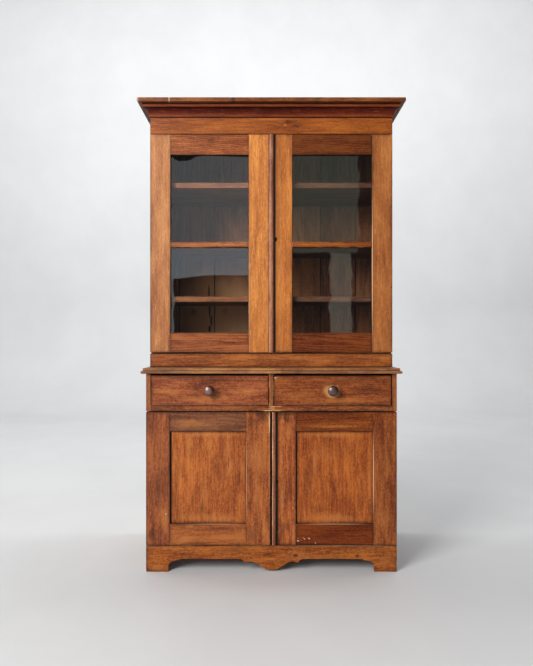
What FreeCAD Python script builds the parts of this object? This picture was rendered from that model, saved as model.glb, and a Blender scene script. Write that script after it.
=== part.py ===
import FreeCAD, Part
import math
import os

# Step back cupboard in pine: a glazed case standing on a deeper case with two drawers and two doors.
# Millimetres. X runs to the viewer's right, the doors face -Y, and Z is up from the floor.
# The origin is on the floor, under the middle of the whole cupboard with its knobs.

Vector = FreeCAD.Vector

# Both cases
case_width = 1120.0
lower_depth = 480.0
step_back = 84.0            # upper doors stand this far behind the lower ones
side_thickness = 20.0
door_thickness = 21.0
door_back_gap = 1.0         # air between a closed door and the side board's front edge
housing_depth = 8.0         # shelves and bottoms are let this far into the sides
back_thickness = 13.0
back_rabbet = 10.0          # width of the rabbet in a side board that takes the back
back_tongue = 6.0
back_tongue_thickness = 5.0
back_board_gap = 0.8        # room for the back boards to swell
back_board_narrowest = 40.0
lower_back_first_board = 118.0
lower_back_board = 206.0
upper_back_first_board = 63.0
upper_back_board = 188.0

# Lower case, upwards from the floor
base_height = 118.0
lower_door_bottom_gap = 1.8
lower_door_height = 592.6
lower_door_top_gap = 4.5
drawer_rail_height = 24.6
drawer_rail_depth = 60.0
drawer_opening_height = 143.7
counter_thickness = 24.0
counter_overhang = 21.0
counter_nose_height = 13.0
counter_shoulder = 9.0      # how far the fillet above the nose is set back
bottom_board_thickness = 20.0
lower_back_bottom = 70.0
lower_shelf_rise = 300.0    # bottom board's top to the shelf's top
lower_shelf_set_back = 30.0
shelf_thickness = 24.0

# Bracket base
foot_width = 100.0
foot_straight = 28.0        # straight part of a foot's inner edge
foot_cove_width = 50.0
foot_cove_height = 23.0
apron_step = 6.0
apron_drop_half_width = 147.0
apron_cusp_x = 120.0
apron_cusp_z = 38.0
apron_hump_x = 96.0
apron_hump_z = 45.0
apron_lobe_x = 52.0
apron_lobe_z = 27.0
apron_bottom_z = 8.0
side_foot = 95.0
side_arch_radius = 42.0
side_arch_height = 60.0

# Upper case, upwards from the counter
waist_rail_height = 62.0
upper_door_bottom_gap = 6.0
upper_door_height = 1008.0
upper_door_top_gap = 2.0
frieze_height = 129.0
top_board_thickness = 20.0
top_board_overhang = 50.0
top_board_ease = 4.0
upper_bottom_thickness = 20.0
first_shelf_rise = 266.0
second_shelf_rise = 255.0
third_shelf_rise = 276.0
upper_shelf_set_back = 25.0

# Crown moulding
crown_height = 51.5
crown_projection = 31.0
crown_fillet_height = 16.0
crown_toe = 6.0
crown_toe_height = 4.0
crown_lip = 3.0
crown_cove_depth = 7.5

# Doors
upper_hinge_stile = 93.5
upper_left_meeting_stile = 93.0
upper_right_meeting_stile = 106.0
upper_top_rail = 94.0
upper_bottom_rail = 91.0
upper_meeting_x = -10.0     # middle of the gap between the pair
upper_meeting_gap = 2.0
muntin_height = 24.5
muntin_below_shelf = 4.0
lower_hinge_stile = 105.0
lower_left_meeting_stile = 107.0
lower_right_meeting_stile = 106.0
lower_top_rail = 85.0
lower_bottom_rail = 94.0
lower_meeting_x = -1.5
lower_meeting_gap = 8.0
tenon_length = 55.0
tenon_thickness = 7.0
tenon_shoulder = 14.0
stub_tenon = 14.0
glass_rabbet = 8.0
glass_lip = 9.0
glass_thickness = 2.0
glass_room = 1.0
putty_reach = 8.0
putty_foot = 1.5
panel_recess = 10.0
panel_tongue = 7.0
panel_thickness = 10.0
panel_bevel = 40.0
panel_groove_depth = 9.0
panel_room = 1.0

# Bead along each right-hand door
upper_bead_width = 20.0
lower_bead_width = 17.5
quirk_width = 6.5
quirk_depth = 6.0
bead_proud = 5.0

# Hinges
hinge_length = 38.0
hinge_leaf_width = 16.0
hinge_leaf_thickness = 2.0
hinge_leaf_proud = 0.3
hinge_knuckle_radius = 4.2
hinge_axis_out = 0.3        # pin's axis lies this far outside the case
hinge_pin_radius = 1.6
hinge_pin_clearance = 0.05
hinge_knuckle_gap = 0.3
hinge_relief = 0.4
hinge_middle_share = 0.33   # share of the length that the door's own knuckle takes
lower_hinge_from_bottom = 123.5
lower_hinge_from_top = 101.0
upper_hinge_from_bottom = 99.0
upper_hinge_from_top = 109.0

# Locks
lock_width = 52.0
lock_height = 62.0
lock_depth = 10.0
lock_plate_thickness = 1.5
lock_plate_margin = 4.0
bolt_height = 16.0
bolt_thickness = 5.0
bolt_length = 36.0
bolt_above_key = 12.0
bolt_side_clearance = 0.15
bolt_set_in = 0.5
strike_room = 1.2
key_pin_radius = 1.8
upper_bolt_throw = 10.0
lower_bolt_throw = 16.0
upper_key_rise = 523.6      # door's bottom edge to the key's axis
upper_key_in = 30.5         # door's meeting edge to the key's axis
lower_key_rise = 283.0
lower_key_in = 24.0
upper_keyhole_radius = 5.0
upper_keyhole_drop = 12.0
lower_keyhole_radius = 3.6
lower_keyhole_drop = 9.0

# Drawers
drawer_front_thickness = 22.0
drawer_front_height = 133.5
drawer_front_lift = 1.2     # front's lower edge above the rail
drawer_run_clearance = 0.3
drawer_end_gap = 3.0
drawer_right_extra_gap = 2.0
drawer_back_gap = 1.0
drawer_side_thickness = 12.0
drawer_side_drop = 7.0      # sides stop this far below the front's top
drawer_bottom_thickness = 8.0
drawer_bottom_rise = 9.0
drawer_groove = 5.0
drawer_lap = 7.0            # wood left in front of the dovetails
dovetail_count = 3
dovetail_slope = 3.0
dovetail_pin = 9.0
divider_thickness = 20.0
divider_x = -1.0
runner_width = 30.0
rail_tenon = 10.0
rail_tenon_set_back = 8.0
rail_tenon_shoulder = 5.0

# Knobs
knob_reach = 40.0
knob_radius = 23.7
knob_dome_radius = 19.5     # where the dome meets the rounded rim
knob_dome_rise = 6.0
knob_rim_height = 13.0
knob_collar_radius = 15.0
knob_collar_height = 4.0
knob_neck_radius = 10.5
knob_tenon_radius = 8.0
knob_profile_steps = 3      # flats in each curve of the turned profile

# Heights and planes that follow from the sizes above
half_width = case_width / 2
inner_x = half_width - side_thickness
face_thickness = door_thickness + door_back_gap
front_y = -(lower_depth - knob_reach) / 2
back_y = front_y + lower_depth
back_face_y = back_y - back_thickness
side_front_y = front_y + face_thickness
upper_face_y = front_y + step_back
upper_side_front_y = upper_face_y + face_thickness

lower_door_z = base_height + lower_door_bottom_gap
rail_z = lower_door_z + lower_door_height + lower_door_top_gap
rail_top_z = rail_z + drawer_rail_height
counter_z = rail_top_z + drawer_opening_height
counter_top_z = counter_z + counter_thickness
lower_shelf_z = base_height + lower_shelf_rise

waist_top_z = counter_top_z + waist_rail_height
upper_door_z = waist_top_z + upper_door_bottom_gap
frieze_z = upper_door_z + upper_door_height + upper_door_top_gap
case_top_z = frieze_z + frieze_height
first_shelf_z = waist_top_z + first_shelf_rise
second_shelf_z = first_shelf_z + second_shelf_rise
third_shelf_z = second_shelf_z + third_shelf_rise
muntin_top_z = second_shelf_z - muntin_below_shelf
apron_z = foot_straight + foot_cove_height + apron_step
left = -1
right = 1


def box(x0, x1, y0, y1, z0, z1):
    corner = Vector(min(x0, x1), min(y0, y1), min(z0, z1))
    return Part.makeBox(abs(x1 - x0), abs(y1 - y0), abs(z1 - z0), corner)


def fused(pieces):
    whole = pieces[0]
    if len(pieces) > 1:
        whole = whole.fuse(pieces[1:])
    return whole.removeSplitter()


def cut(shape, tools):
    if not tools:
        return shape
    return shape.cut(tools).removeSplitter()


def save(name, solids):
    """Writes one node, as one solid or as a group of separate ones."""
    pieces = solids if isinstance(solids, list) else [solids]
    loose = [solid for piece in pieces for solid in piece.Solids]
    shape = loose[0] if len(loose) == 1 else Part.makeCompound(loose)
    shape.exportStep("parts/" + name + ".step")


def extruded(edges, along):
    return Part.Face(Part.Wire(edges)).extrude(along)


def outline(points):
    """Straight edges through the points and back to the first one."""
    closed = points + points[:1]
    return [Part.makeLine(a, b) for a, b in zip(closed, closed[1:]) if (a - b).Length > 1e-6]


def arc_through(start, middle, end):
    return Part.Arc(start, middle, end).toShape()


def quarter(start, corner, end):
    """Quarter of a circle or an ellipse from start to end, tangent to the lines through corner."""
    centre = start + end - corner
    first = start - centre
    second = end - centre
    if abs(first.Length - second.Length) < 1e-6:
        middle = centre + (first + second) * math.sqrt(0.5)
        return arc_through(start, middle, end)
    if first.Length < second.Length:
        start, end = end, start
    ellipse = Part.Ellipse(start, end, centre)
    return Part.ArcOfEllipse(ellipse, 0, math.pi / 2).toShape()


# Hinges


def hinge_axis(hand, face_y, z):
    """Middle of the pin, in the gap between the door's back and the side board."""
    return Vector(hand * (half_width + hinge_axis_out), face_y + door_thickness + door_back_gap / 2, z)


def round_bar(centre, radius, low, high):
    return Part.makeCylinder(radius, high - low, Vector(centre.x, centre.y, centre.z + low))


def leaf_plate(hand, axis, y0, y1):
    x1 = hand * (half_width - hinge_leaf_width)
    half = hinge_length / 2
    return box(axis.x, x1, y0, y1, axis.z - half, axis.z + half)


def door_leaf_plane(face_y):
    back = face_y + door_thickness
    return back + hinge_leaf_proud - hinge_leaf_thickness, back + hinge_leaf_proud


def case_leaf_plane(face_y):
    edge = face_y + face_thickness
    return edge - hinge_leaf_proud, edge - hinge_leaf_proud + hinge_leaf_thickness


def hinge_split():
    """Half the door knuckle's length, and where the case's knuckles begin."""
    half = hinge_length * hinge_middle_share / 2
    return half, half + hinge_knuckle_gap


def door_leaf(hand, face_y, z):
    """Leaf let into the door, with the middle knuckle, bored for the pin."""
    axis = hinge_axis(hand, face_y, z)
    half = hinge_length / 2
    inner = hinge_split()[0]
    y0, y1 = door_leaf_plane(face_y)
    room = hinge_knuckle_radius + hinge_relief
    plate = leaf_plate(hand, axis, y0, y1)
    plate = cut(plate, [round_bar(axis, room, inner, half + 1), round_bar(axis, room, -half - 1, -inner)])
    knuckle = round_bar(axis, hinge_knuckle_radius, -inner, inner)
    leaf = fused([plate, knuckle])
    bore = round_bar(axis, hinge_pin_radius + hinge_pin_clearance, -half, half)
    return cut(leaf, [bore])


def case_leaf(hand, face_y, z):
    """Leaf let into the side board, with the outer knuckles and the pin."""
    axis = hinge_axis(hand, face_y, z)
    half = hinge_length / 2
    inner, outer = hinge_split()
    y0, y1 = case_leaf_plane(face_y)
    room = round_bar(axis, hinge_knuckle_radius + hinge_relief, -outer, outer)
    plate = cut(leaf_plate(hand, axis, y0, y1), [room])
    above = round_bar(axis, hinge_knuckle_radius, outer, half)
    below = round_bar(axis, hinge_knuckle_radius, -half, -outer)
    pin = round_bar(axis, hinge_pin_radius, -half, half)
    return fused([plate, above, below, pin])


def knuckle_room(hand, face_y, z):
    """Square notch in the wood around the knuckles."""
    axis = hinge_axis(hand, face_y, z)
    half = hinge_length / 2 + hinge_knuckle_gap
    room = hinge_knuckle_radius + hinge_relief
    return box(axis.x - room, axis.x + room, axis.y - room, axis.y + room, axis.z - half, axis.z + half)


def door_hinge_cuts(hand, face_y, heights):
    cuts = []
    for z in heights:
        y0, y1 = door_leaf_plane(face_y)
        cuts.append(knuckle_room(hand, face_y, z))
        cuts.append(leaf_plate(hand, hinge_axis(hand, face_y, z), y0, y1))
    return cuts


def side_hinge_cuts(hand, face_y, heights):
    cuts = []
    for z in heights:
        y0, y1 = case_leaf_plane(face_y)
        cuts.append(knuckle_room(hand, face_y, z))
        cuts.append(leaf_plate(hand, hinge_axis(hand, face_y, z), y0, y1))
    return cuts


lower_hinge_heights = [
    lower_door_z + lower_hinge_from_bottom,
    lower_door_z + lower_door_height - lower_hinge_from_top,
]
upper_hinge_heights = [
    upper_door_z + upper_hinge_from_bottom,
    upper_door_z + upper_door_height - upper_hinge_from_top,
]


# Lower case


def rail_tenon_box(hand):
    """Tongue of the drawer rail, hidden behind the side board's front edge."""
    return box(
        hand * inner_x,
        hand * (inner_x + rail_tenon),
        front_y + rail_tenon_set_back,
        front_y + drawer_rail_depth,
        rail_z + rail_tenon_shoulder,
        rail_top_z - rail_tenon_shoulder,
    )


def lower_bottom_board():
    reach = inner_x + housing_depth
    z0 = base_height - bottom_board_thickness
    return box(-reach, reach, side_front_y, back_face_y, z0, base_height)


def lower_shelf():
    reach = inner_x + housing_depth
    y0 = side_front_y + lower_shelf_set_back
    return box(-reach, reach, y0, back_face_y, lower_shelf_z - shelf_thickness, lower_shelf_z)


def back_room(z0, z1):
    reach = inner_x + back_rabbet
    return box(-reach, reach, back_face_y, back_y, z0, z1)


def side_arch(hand):
    """Cut between a side board's front and back foot, with rounded corners."""
    y0 = side_front_y + side_foot
    y1 = back_y - side_foot
    r = side_arch_radius
    top = side_arch_height
    x = hand * (inner_x - 1)

    def at(y, z):
        return Vector(x, y, z)

    edges = [
        Part.makeLine(at(y0, -1), at(y0, top - r)),
        quarter(at(y0, top - r), at(y0, top), at(y0 + r, top)),
        Part.makeLine(at(y0 + r, top), at(y1 - r, top)),
        quarter(at(y1 - r, top), at(y1, top), at(y1, top - r)),
        Part.makeLine(at(y1, top - r), at(y1, -1)),
        Part.makeLine(at(y1, -1), at(y0, -1)),
    ]
    return extruded(edges, Vector(hand * (side_thickness + 2), 0, 0))


def lower_side(hand):
    """Side board, set back behind the door and the base but full depth beside the drawers."""
    x0 = hand * inner_x
    x1 = hand * half_width
    board = fused([
        box(x0, x1, side_front_y, back_y, 0, counter_z),
        box(x0, x1, front_y, side_front_y, rail_z, counter_z),
    ])
    cuts = [side_arch(hand), back_room(lower_back_bottom, counter_z)]
    cuts += [lower_bottom_board(), lower_shelf(), rail_tenon_box(hand)]
    cuts += side_hinge_cuts(hand, front_y, lower_hinge_heights)
    return cut(board, cuts)


def back_boards(first_width, width, z0, z1):
    """Upright boards laid from the left, the first one ripped narrower, tongued and grooved."""
    reach = inner_x + back_rabbet
    middle_y = (back_face_y + back_y) / 2
    half = back_tongue_thickness / 2
    joints = []
    x = -reach + first_width
    while x < reach - back_board_narrowest:
        joints.append(x)
        x += width
    boards = []
    for x0, x1 in zip([-reach] + joints, joints + [reach]):
        last = x1 == reach
        board = box(x0, x1 - (0 if last else back_board_gap), back_face_y, back_y, z0, z1)
        if not last:
            tongue = box(x1 - back_board_gap, x1 + back_tongue, middle_y - half, middle_y + half, z0, z1)
            board = fused([board, tongue])
        if x0 > -reach:
            groove_end = x0 + back_tongue + back_board_gap
            board = cut(board, [box(x0 - 1, groove_end, middle_y - half, middle_y + half, z0, z1)])
        boards.append(board)
    return boards


def drawer_rail():
    rail = box(-inner_x, inner_x, front_y, front_y + drawer_rail_depth, rail_z, rail_top_z)
    return fused([rail, rail_tenon_box(left), rail_tenon_box(right)])


def drawer_divider():
    half = divider_thickness / 2
    return box(divider_x - half, divider_x + half, front_y, back_face_y, rail_top_z, counter_z)


def drawer_runners():
    y0 = front_y + drawer_rail_depth
    middle = divider_thickness / 2 + runner_width
    return [
        box(-inner_x, -inner_x + runner_width, y0, back_face_y, rail_z, rail_top_z),
        box(divider_x - middle, divider_x + middle, y0, back_face_y, rail_z, rail_top_z),
        box(inner_x - runner_width, inner_x, y0, back_face_y, rail_z, rail_top_z),
    ]


def bracket_base():
    """Front board sawn to two bracket feet and a scrolled drop in the middle."""
    foot_x = half_width - foot_width
    cove_x = foot_x - foot_cove_width
    cove_z = foot_straight + foot_cove_height

    def at(x, z):
        return Vector(x, front_y, z)

    def half_edges(hand):
        """From the top of a foot's cove to the drop's lowest point."""
        hump = at(hand * apron_hump_x, apron_hump_z)
        lobe = at(hand * apron_lobe_x, apron_lobe_z)
        bottom = at(0, apron_bottom_z)
        scroll = Part.BSplineCurve()
        scroll.interpolate(
            Points=[hump, lobe, bottom],
            Tangents=[Vector(-hand, 0, 0), Vector(-hand, 0, -0.62), Vector(-hand, 0, 0)],
            TangentFlags=[True, True, True],
        )
        cusp = at(hand * apron_cusp_x, apron_cusp_z)
        rise = at(hand * (apron_cusp_x + apron_hump_x) / 2, (apron_cusp_z + apron_hump_z) / 2 + 1.5)
        return [
            quarter(at(hand * foot_x, foot_straight), at(hand * foot_x, cove_z), at(hand * cove_x, cove_z)),
            Part.makeLine(at(hand * cove_x, cove_z), at(hand * cove_x, apron_z)),
            Part.makeLine(at(hand * cove_x, apron_z), at(hand * apron_drop_half_width, apron_z)),
            quarter(
                at(hand * apron_drop_half_width, apron_z),
                at(hand * apron_cusp_x, apron_z),
                cusp,
            ),
            arc_through(cusp, rise, hump),
            scroll.toShape(),
        ]

    edges = half_edges(left) + half_edges(right)
    for hand in (left, right):
        edges.append(Part.makeLine(at(hand * foot_x, foot_straight), at(hand * foot_x, 0)))
        edges.append(Part.makeLine(at(hand * foot_x, 0), at(hand * half_width, 0)))
        edges.append(Part.makeLine(at(hand * half_width, 0), at(hand * half_width, base_height)))
    edges.append(Part.makeLine(at(-half_width, base_height), at(half_width, base_height)))
    return extruded(Part.__sortEdges__(edges), Vector(0, face_thickness, 0))


def moulded_board(section, half_x, edge_y, z0, reach):
    """Board with one section on its front and both ends, mitred at the corners.

    section gives edges in (projection, height) for a projection and z above z0;
    the board is where a bar with the section in front meets one with it at both ends.
    """
    def in_yz(p, z):
        return Vector(-half_x - reach - 1, edge_y - p, z0 + z)

    def in_xz(p, z, hand):
        return Vector(hand * (half_x + p), edge_y - reach - 1, z0 + z)

    depth = back_y - edge_y
    front_bar = extruded(section(in_yz, -depth), Vector(2 * (half_x + reach + 1), 0, 0))
    bars = []
    for hand in (left, right):
        edges = section(lambda p, z: in_xz(p, z, hand), -half_x)
        bars.append(extruded(edges, Vector(0, depth + reach + 2, 0)))
    return front_bar.common(fused(bars)).removeSplitter()


def counter_section(at, inside):
    """Round nose under a fillet that is set back."""
    nose = counter_nose_height / 2
    shoulder = counter_overhang - counter_shoulder
    tip = counter_overhang - nose
    return [
        Part.makeLine(at(inside, 0), at(tip, 0)),
        arc_through(at(tip, 0), at(counter_overhang, nose), at(tip, counter_nose_height)),
        Part.makeLine(at(tip, counter_nose_height), at(shoulder, counter_nose_height)),
        Part.makeLine(at(shoulder, counter_nose_height), at(shoulder, counter_thickness)),
        Part.makeLine(at(shoulder, counter_thickness), at(inside, counter_thickness)),
        Part.makeLine(at(inside, counter_thickness), at(inside, 0)),
    ]


def counter_top():
    return moulded_board(counter_section, half_width, front_y, counter_z, counter_overhang)


# Upper case


def upper_bottom_board():
    reach = inner_x + housing_depth
    z0 = waist_top_z - upper_bottom_thickness
    return box(-reach, reach, upper_side_front_y, back_face_y, z0, waist_top_z)


def upper_shelf(top):
    reach = inner_x + housing_depth
    y0 = upper_face_y + upper_shelf_set_back
    return box(-reach, reach, y0, back_face_y, top - shelf_thickness, top)


upper_shelf_tops = [first_shelf_z, second_shelf_z, third_shelf_z]


def upper_side(hand):
    board = box(hand * inner_x, hand * half_width, upper_side_front_y, back_y, counter_top_z, case_top_z)
    cuts = [back_room(counter_top_z, case_top_z), upper_bottom_board()]
    cuts += [upper_shelf(top) for top in upper_shelf_tops]
    cuts += side_hinge_cuts(hand, upper_face_y, upper_hinge_heights)
    return cut(board, cuts)


def face_board(z0, z1):
    return box(-half_width, half_width, upper_face_y, upper_side_front_y, z0, z1)


def crown_section(at, inside):
    """Toe, cove and fillet, in projection from the case and height from the moulding's foot."""
    top = crown_height
    fillet = top - crown_fillet_height
    lip = crown_projection - crown_lip
    start = (crown_toe, crown_toe_height)
    end = (lip, fillet)
    length = math.hypot(end[0] - start[0], end[1] - start[1])
    middle = (
        (start[0] + end[0]) / 2 - crown_cove_depth * (end[1] - start[1]) / length,
        (start[1] + end[1]) / 2 + crown_cove_depth * (end[0] - start[0]) / length,
    )
    return [
        Part.makeLine(at(inside, 0), at(crown_toe, 0)),
        Part.makeLine(at(crown_toe, 0), at(*start)),
        arc_through(at(*start), at(*middle), at(*end)),
        Part.makeLine(at(*end), at(crown_projection, fillet)),
        Part.makeLine(at(crown_projection, fillet), at(crown_projection, top)),
        Part.makeLine(at(crown_projection, top), at(inside, top)),
        Part.makeLine(at(inside, top), at(inside, 0)),
    ]


def crown_moulding():
    """Front length and two returns, mitred at the corners and planted on the case."""
    z0 = case_top_z - crown_height
    whole = moulded_board(crown_section, half_width, upper_face_y, z0, crown_projection)
    core = box(-half_width, half_width, upper_face_y, back_y + 1, z0 - 1, case_top_z + 1)
    ring = cut(whole, [core])
    far = crown_projection + 5
    corner_y = upper_face_y

    def wedge(hand):
        """Everything to one side of the mitre line through a front corner."""
        points = [
            Vector(hand * half_width, corner_y, z0 - 1),
            Vector(hand * (half_width + far), corner_y - far, z0 - 1),
            Vector(hand * (half_width + far), back_y + 1, z0 - 1),
            Vector(hand * half_width, back_y + 1, z0 - 1),
        ]
        return extruded(outline(points), Vector(0, 0, crown_height + 2))

    returns = [ring.common(wedge(hand)) for hand in (left, right)]
    front = cut(ring, [wedge(left), wedge(right)])
    return [front] + returns


def top_section(at, inside):
    """Square edge with both arrises rounded off."""
    out = top_board_overhang
    r = top_board_ease
    thick = top_board_thickness
    return [
        Part.makeLine(at(inside, 0), at(out - r, 0)),
        quarter(at(out - r, 0), at(out, 0), at(out, r)),
        Part.makeLine(at(out, r), at(out, thick - r)),
        quarter(at(out, thick - r), at(out, thick), at(out - r, thick)),
        Part.makeLine(at(out - r, thick), at(inside, thick)),
        Part.makeLine(at(inside, thick), at(inside, 0)),
    ]


def top_board():
    return moulded_board(top_section, half_width, upper_face_y, case_top_z, top_board_overhang)


# Doors


def door_places(level, hand):
    """Where one door's edges, rails and fittings lie."""
    upper = level == "upper"
    face_y = upper_face_y if upper else front_y
    z0 = upper_door_z if upper else lower_door_z
    z1 = z0 + (upper_door_height if upper else lower_door_height)
    middle = upper_meeting_x if upper else lower_meeting_x
    gap = upper_meeting_gap if upper else lower_meeting_gap
    meeting_x = middle + hand * gap / 2
    if upper:
        meeting_stile = upper_left_meeting_stile if hand == left else upper_right_meeting_stile
    else:
        meeting_stile = lower_left_meeting_stile if hand == left else lower_right_meeting_stile
    hinge_stile = upper_hinge_stile if upper else lower_hinge_stile
    key_in = upper_key_in if upper else lower_key_in
    right_meeting_x = middle + gap / 2
    return {
        "upper": upper,
        "hand": hand,
        "face_y": face_y,
        "back_y": face_y + door_thickness,
        "z0": z0,
        "z1": z1,
        "outer_x": hand * half_width,
        "meeting_x": meeting_x,
        "hinge_edge_x": hand * (half_width - hinge_stile),
        "meeting_edge_x": meeting_x + hand * meeting_stile,
        "open_z0": z0 + (upper_bottom_rail if upper else lower_bottom_rail),
        "open_z1": z1 - (upper_top_rail if upper else lower_top_rail),
        "hinges": upper_hinge_heights if upper else lower_hinge_heights,
        "edge_depth": glass_rabbet if upper else panel_groove_depth,
        "tenon_y": face_y + (glass_lip if upper else panel_recess),
        "key_x": right_meeting_x + key_in,
        "key_z": z0 + (upper_key_rise if upper else lower_key_rise),
        "lock_edge_x": right_meeting_x,
        "throw": upper_bolt_throw if upper else lower_bolt_throw,
        "keyhole_radius": upper_keyhole_radius if upper else lower_keyhole_radius,
        "keyhole_drop": upper_keyhole_drop if upper else lower_keyhole_drop,
    }


def tenons(d, z0, z1, length):
    """Tongues at both ends of a rail, behind the edge rabbet or in line with the panel's groove."""
    shoulder = d["edge_depth"] if d["upper"] else 0
    pieces = []
    for edge_x, away in ((d["hinge_edge_x"], d["hand"]), (d["meeting_edge_x"], -d["hand"])):
        pieces.append(
            box(
                edge_x,
                edge_x + away * (shoulder + length),
                d["tenon_y"],
                d["tenon_y"] + tenon_thickness,
                z0,
                z1,
            )
        )
    return pieces


def edge_recess(d, x0, x1, z0, z1):
    """Room behind the sight edge: an open rabbet for glass, or a groove for the panel."""
    y1 = d["back_y"] + 1 if d["upper"] else d["tenon_y"] + panel_tongue
    return box(x0, x1, d["tenon_y"], y1, z0, z1)


def rail_tenon_heights(d):
    low = (d["z0"] + tenon_shoulder, d["open_z0"] - tenon_shoulder)
    high = (d["open_z1"] + tenon_shoulder, d["z1"] - tenon_shoulder)
    return low, high


def muntin_stem(d):
    z0 = muntin_top_z - muntin_height + glass_rabbet
    return z0, muntin_top_z - glass_rabbet


def stile(d, edge_x, far_x):
    """Upright from edge to edge of the door, mortised for the rails."""
    board = box(edge_x, far_x, d["face_y"], d["back_y"], d["z0"], d["z1"])
    away = 1 if far_x > edge_x else -1
    depth = d["edge_depth"]
    low, high = rail_tenon_heights(d)
    if d["upper"]:
        cuts = [edge_recess(d, edge_x - away, edge_x + away * depth, d["z0"] - 1, d["z1"] + 1)]
        cuts += tenons(d, *muntin_stem(d), stub_tenon)
    else:
        groove_z = (d["open_z0"] - depth, d["open_z1"] + depth)
        cuts = [edge_recess(d, edge_x - away, edge_x + away * depth, *groove_z)]
    cuts += tenons(d, *low, tenon_length)
    cuts += tenons(d, *high, tenon_length)
    return cut(board, cuts)


def lock_body(d):
    x0 = d["lock_edge_x"]
    back = d["back_y"]
    half = lock_height / 2
    z = d["key_z"]
    case_y = back - lock_plate_thickness
    body = box(x0, x0 + lock_width, case_y - lock_depth, case_y, z - half, z + half)
    margin = lock_plate_margin
    plate = box(x0, x0 + lock_width + margin, case_y, back, z - half - margin, z + half + margin)
    return fused([body, plate])


def bolt_box(d, grow, x0, x1):
    y = d["back_y"] - lock_plate_thickness - lock_depth / 2
    z = d["key_z"] + bolt_above_key
    half_y = bolt_thickness / 2 + grow
    half_z = bolt_height / 2 + grow
    return box(x0, x1, y - half_y, y + half_y, z - half_z, z + half_z)


def lock(d):
    """Half-mortise lock let into the back of the meeting stile, with a pin for the key."""
    x0 = d["lock_edge_x"]
    end = x0 + bolt_set_in + bolt_length + bolt_side_clearance
    channel = bolt_box(d, bolt_side_clearance, x0 - 1, end)
    y1 = d["back_y"] - lock_plate_thickness
    key_room = Part.makeCylinder(
        d["keyhole_radius"],
        lock_depth,
        Vector(d["key_x"], y1 - lock_depth, d["key_z"]),
        Vector(0, 1, 0),
    )
    pin = Part.makeCylinder(
        key_pin_radius,
        lock_depth - 1,
        Vector(d["key_x"], y1 - lock_depth + 1, d["key_z"]),
        Vector(0, 1, 0),
    )
    return fused([cut(lock_body(d), [channel, key_room]), cut(pin, [channel])])


def lock_bolt(d):
    """Bolt drawn back into the lock; it slides towards the left-hand door."""
    x0 = d["lock_edge_x"] + bolt_set_in
    bolt = bolt_box(d, 0, x0, x0 + bolt_length)
    notch = Part.makeCylinder(
        bolt_height / 4,
        bolt_thickness,
        Vector(
            d["key_x"],
            d["back_y"] - lock_plate_thickness - lock_depth / 2 - bolt_thickness / 2,
            d["key_z"] + bolt_above_key - bolt_height / 2,
        ),
        Vector(0, 1, 0),
    )
    return cut(bolt, [notch])


def strike_mortise(d):
    """Slot in the left-hand meeting stile that takes the thrown bolt."""
    x0 = d["meeting_x"] + 1
    x1 = d["lock_edge_x"] + bolt_set_in - d["throw"] - strike_room
    return bolt_box(d, strike_room, x0, x1)


def keyhole(d):
    """Round hole with a slot below it, through the wood in front of the lock."""
    depth = door_thickness - lock_plate_thickness - lock_depth
    r = d["keyhole_radius"]
    x = d["key_x"]
    top = Part.makeCylinder(r, depth, Vector(x, d["face_y"], d["key_z"]), Vector(0, 1, 0))
    z0 = d["key_z"] - d["keyhole_drop"]
    slot = box(x - r / 2, x + r / 2, d["face_y"], d["face_y"] + depth, z0, d["key_z"])
    return fused([top, slot])


def bead_width(d):
    return upper_bead_width if d["upper"] else lower_bead_width


def bead_room(d):
    """Step along the right-hand door's meeting edge for the bead and its quirk."""
    x0 = d["meeting_x"]
    x1 = x0 + bead_width(d) + quirk_width
    return box(x0 - 1, x1, d["face_y"] - 1, d["face_y"] + quirk_depth, d["z0"] - 1, d["z1"] + 1)


def bead(d):
    """Half-round strip planted on the right-hand door's meeting edge."""
    x0 = d["meeting_x"]
    x1 = x0 + bead_width(d)
    middle = (x0 + x1) / 2
    y0 = d["face_y"]
    foot = y0 + quirk_depth

    def at(x, y):
        return Vector(x, y, d["z0"])

    edges = [
        Part.makeLine(at(x0, foot), at(x0, y0)),
        arc_through(at(x0, y0), at(middle, y0 - bead_proud), at(x1, y0)),
        Part.makeLine(at(x1, y0), at(x1, foot)),
        Part.makeLine(at(x1, foot), at(x0, foot)),
    ]
    return extruded(edges, Vector(0, 0, d["z1"] - d["z0"]))


def hinge_stile(d):
    board = stile(d, d["hinge_edge_x"], d["outer_x"])
    return cut(board, door_hinge_cuts(d["hand"], d["face_y"], d["hinges"]))


def meeting_stile(d):
    board = stile(d, d["meeting_edge_x"], d["meeting_x"])
    if d["hand"] == left:
        return cut(board, [strike_mortise(d)])
    return cut(board, [bead_room(d), lock_body(d), keyhole(d)])


def rails(d):
    """Top and bottom rail with their tenons, as two solids."""
    x0, x1 = d["hinge_edge_x"], d["meeting_edge_x"]
    low_x, high_x = min(x0, x1), max(x0, x1)
    low, high = rail_tenon_heights(d)
    depth = d["edge_depth"]
    solids = []
    for z0, z1, heights, inner_z, inward in (
        (d["z0"], d["open_z0"], low, d["open_z0"], -1),
        (d["open_z1"], d["z1"], high, d["open_z1"], 1),
    ):
        pieces = [box(low_x, high_x, d["face_y"], d["back_y"], z0, z1)]
        if d["upper"]:
            pieces.append(box(low_x - depth, high_x + depth, d["tenon_y"], d["back_y"], z0, z1))
        pieces += tenons(d, *heights, tenon_length)
        recess = edge_recess(
            d,
            low_x - depth - 1 if d["upper"] else low_x,
            high_x + depth + 1 if d["upper"] else high_x,
            inner_z - inward,
            inner_z + inward * depth,
        )
        solids.append(cut(fused(pieces), [recess]))
    return solids


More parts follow.
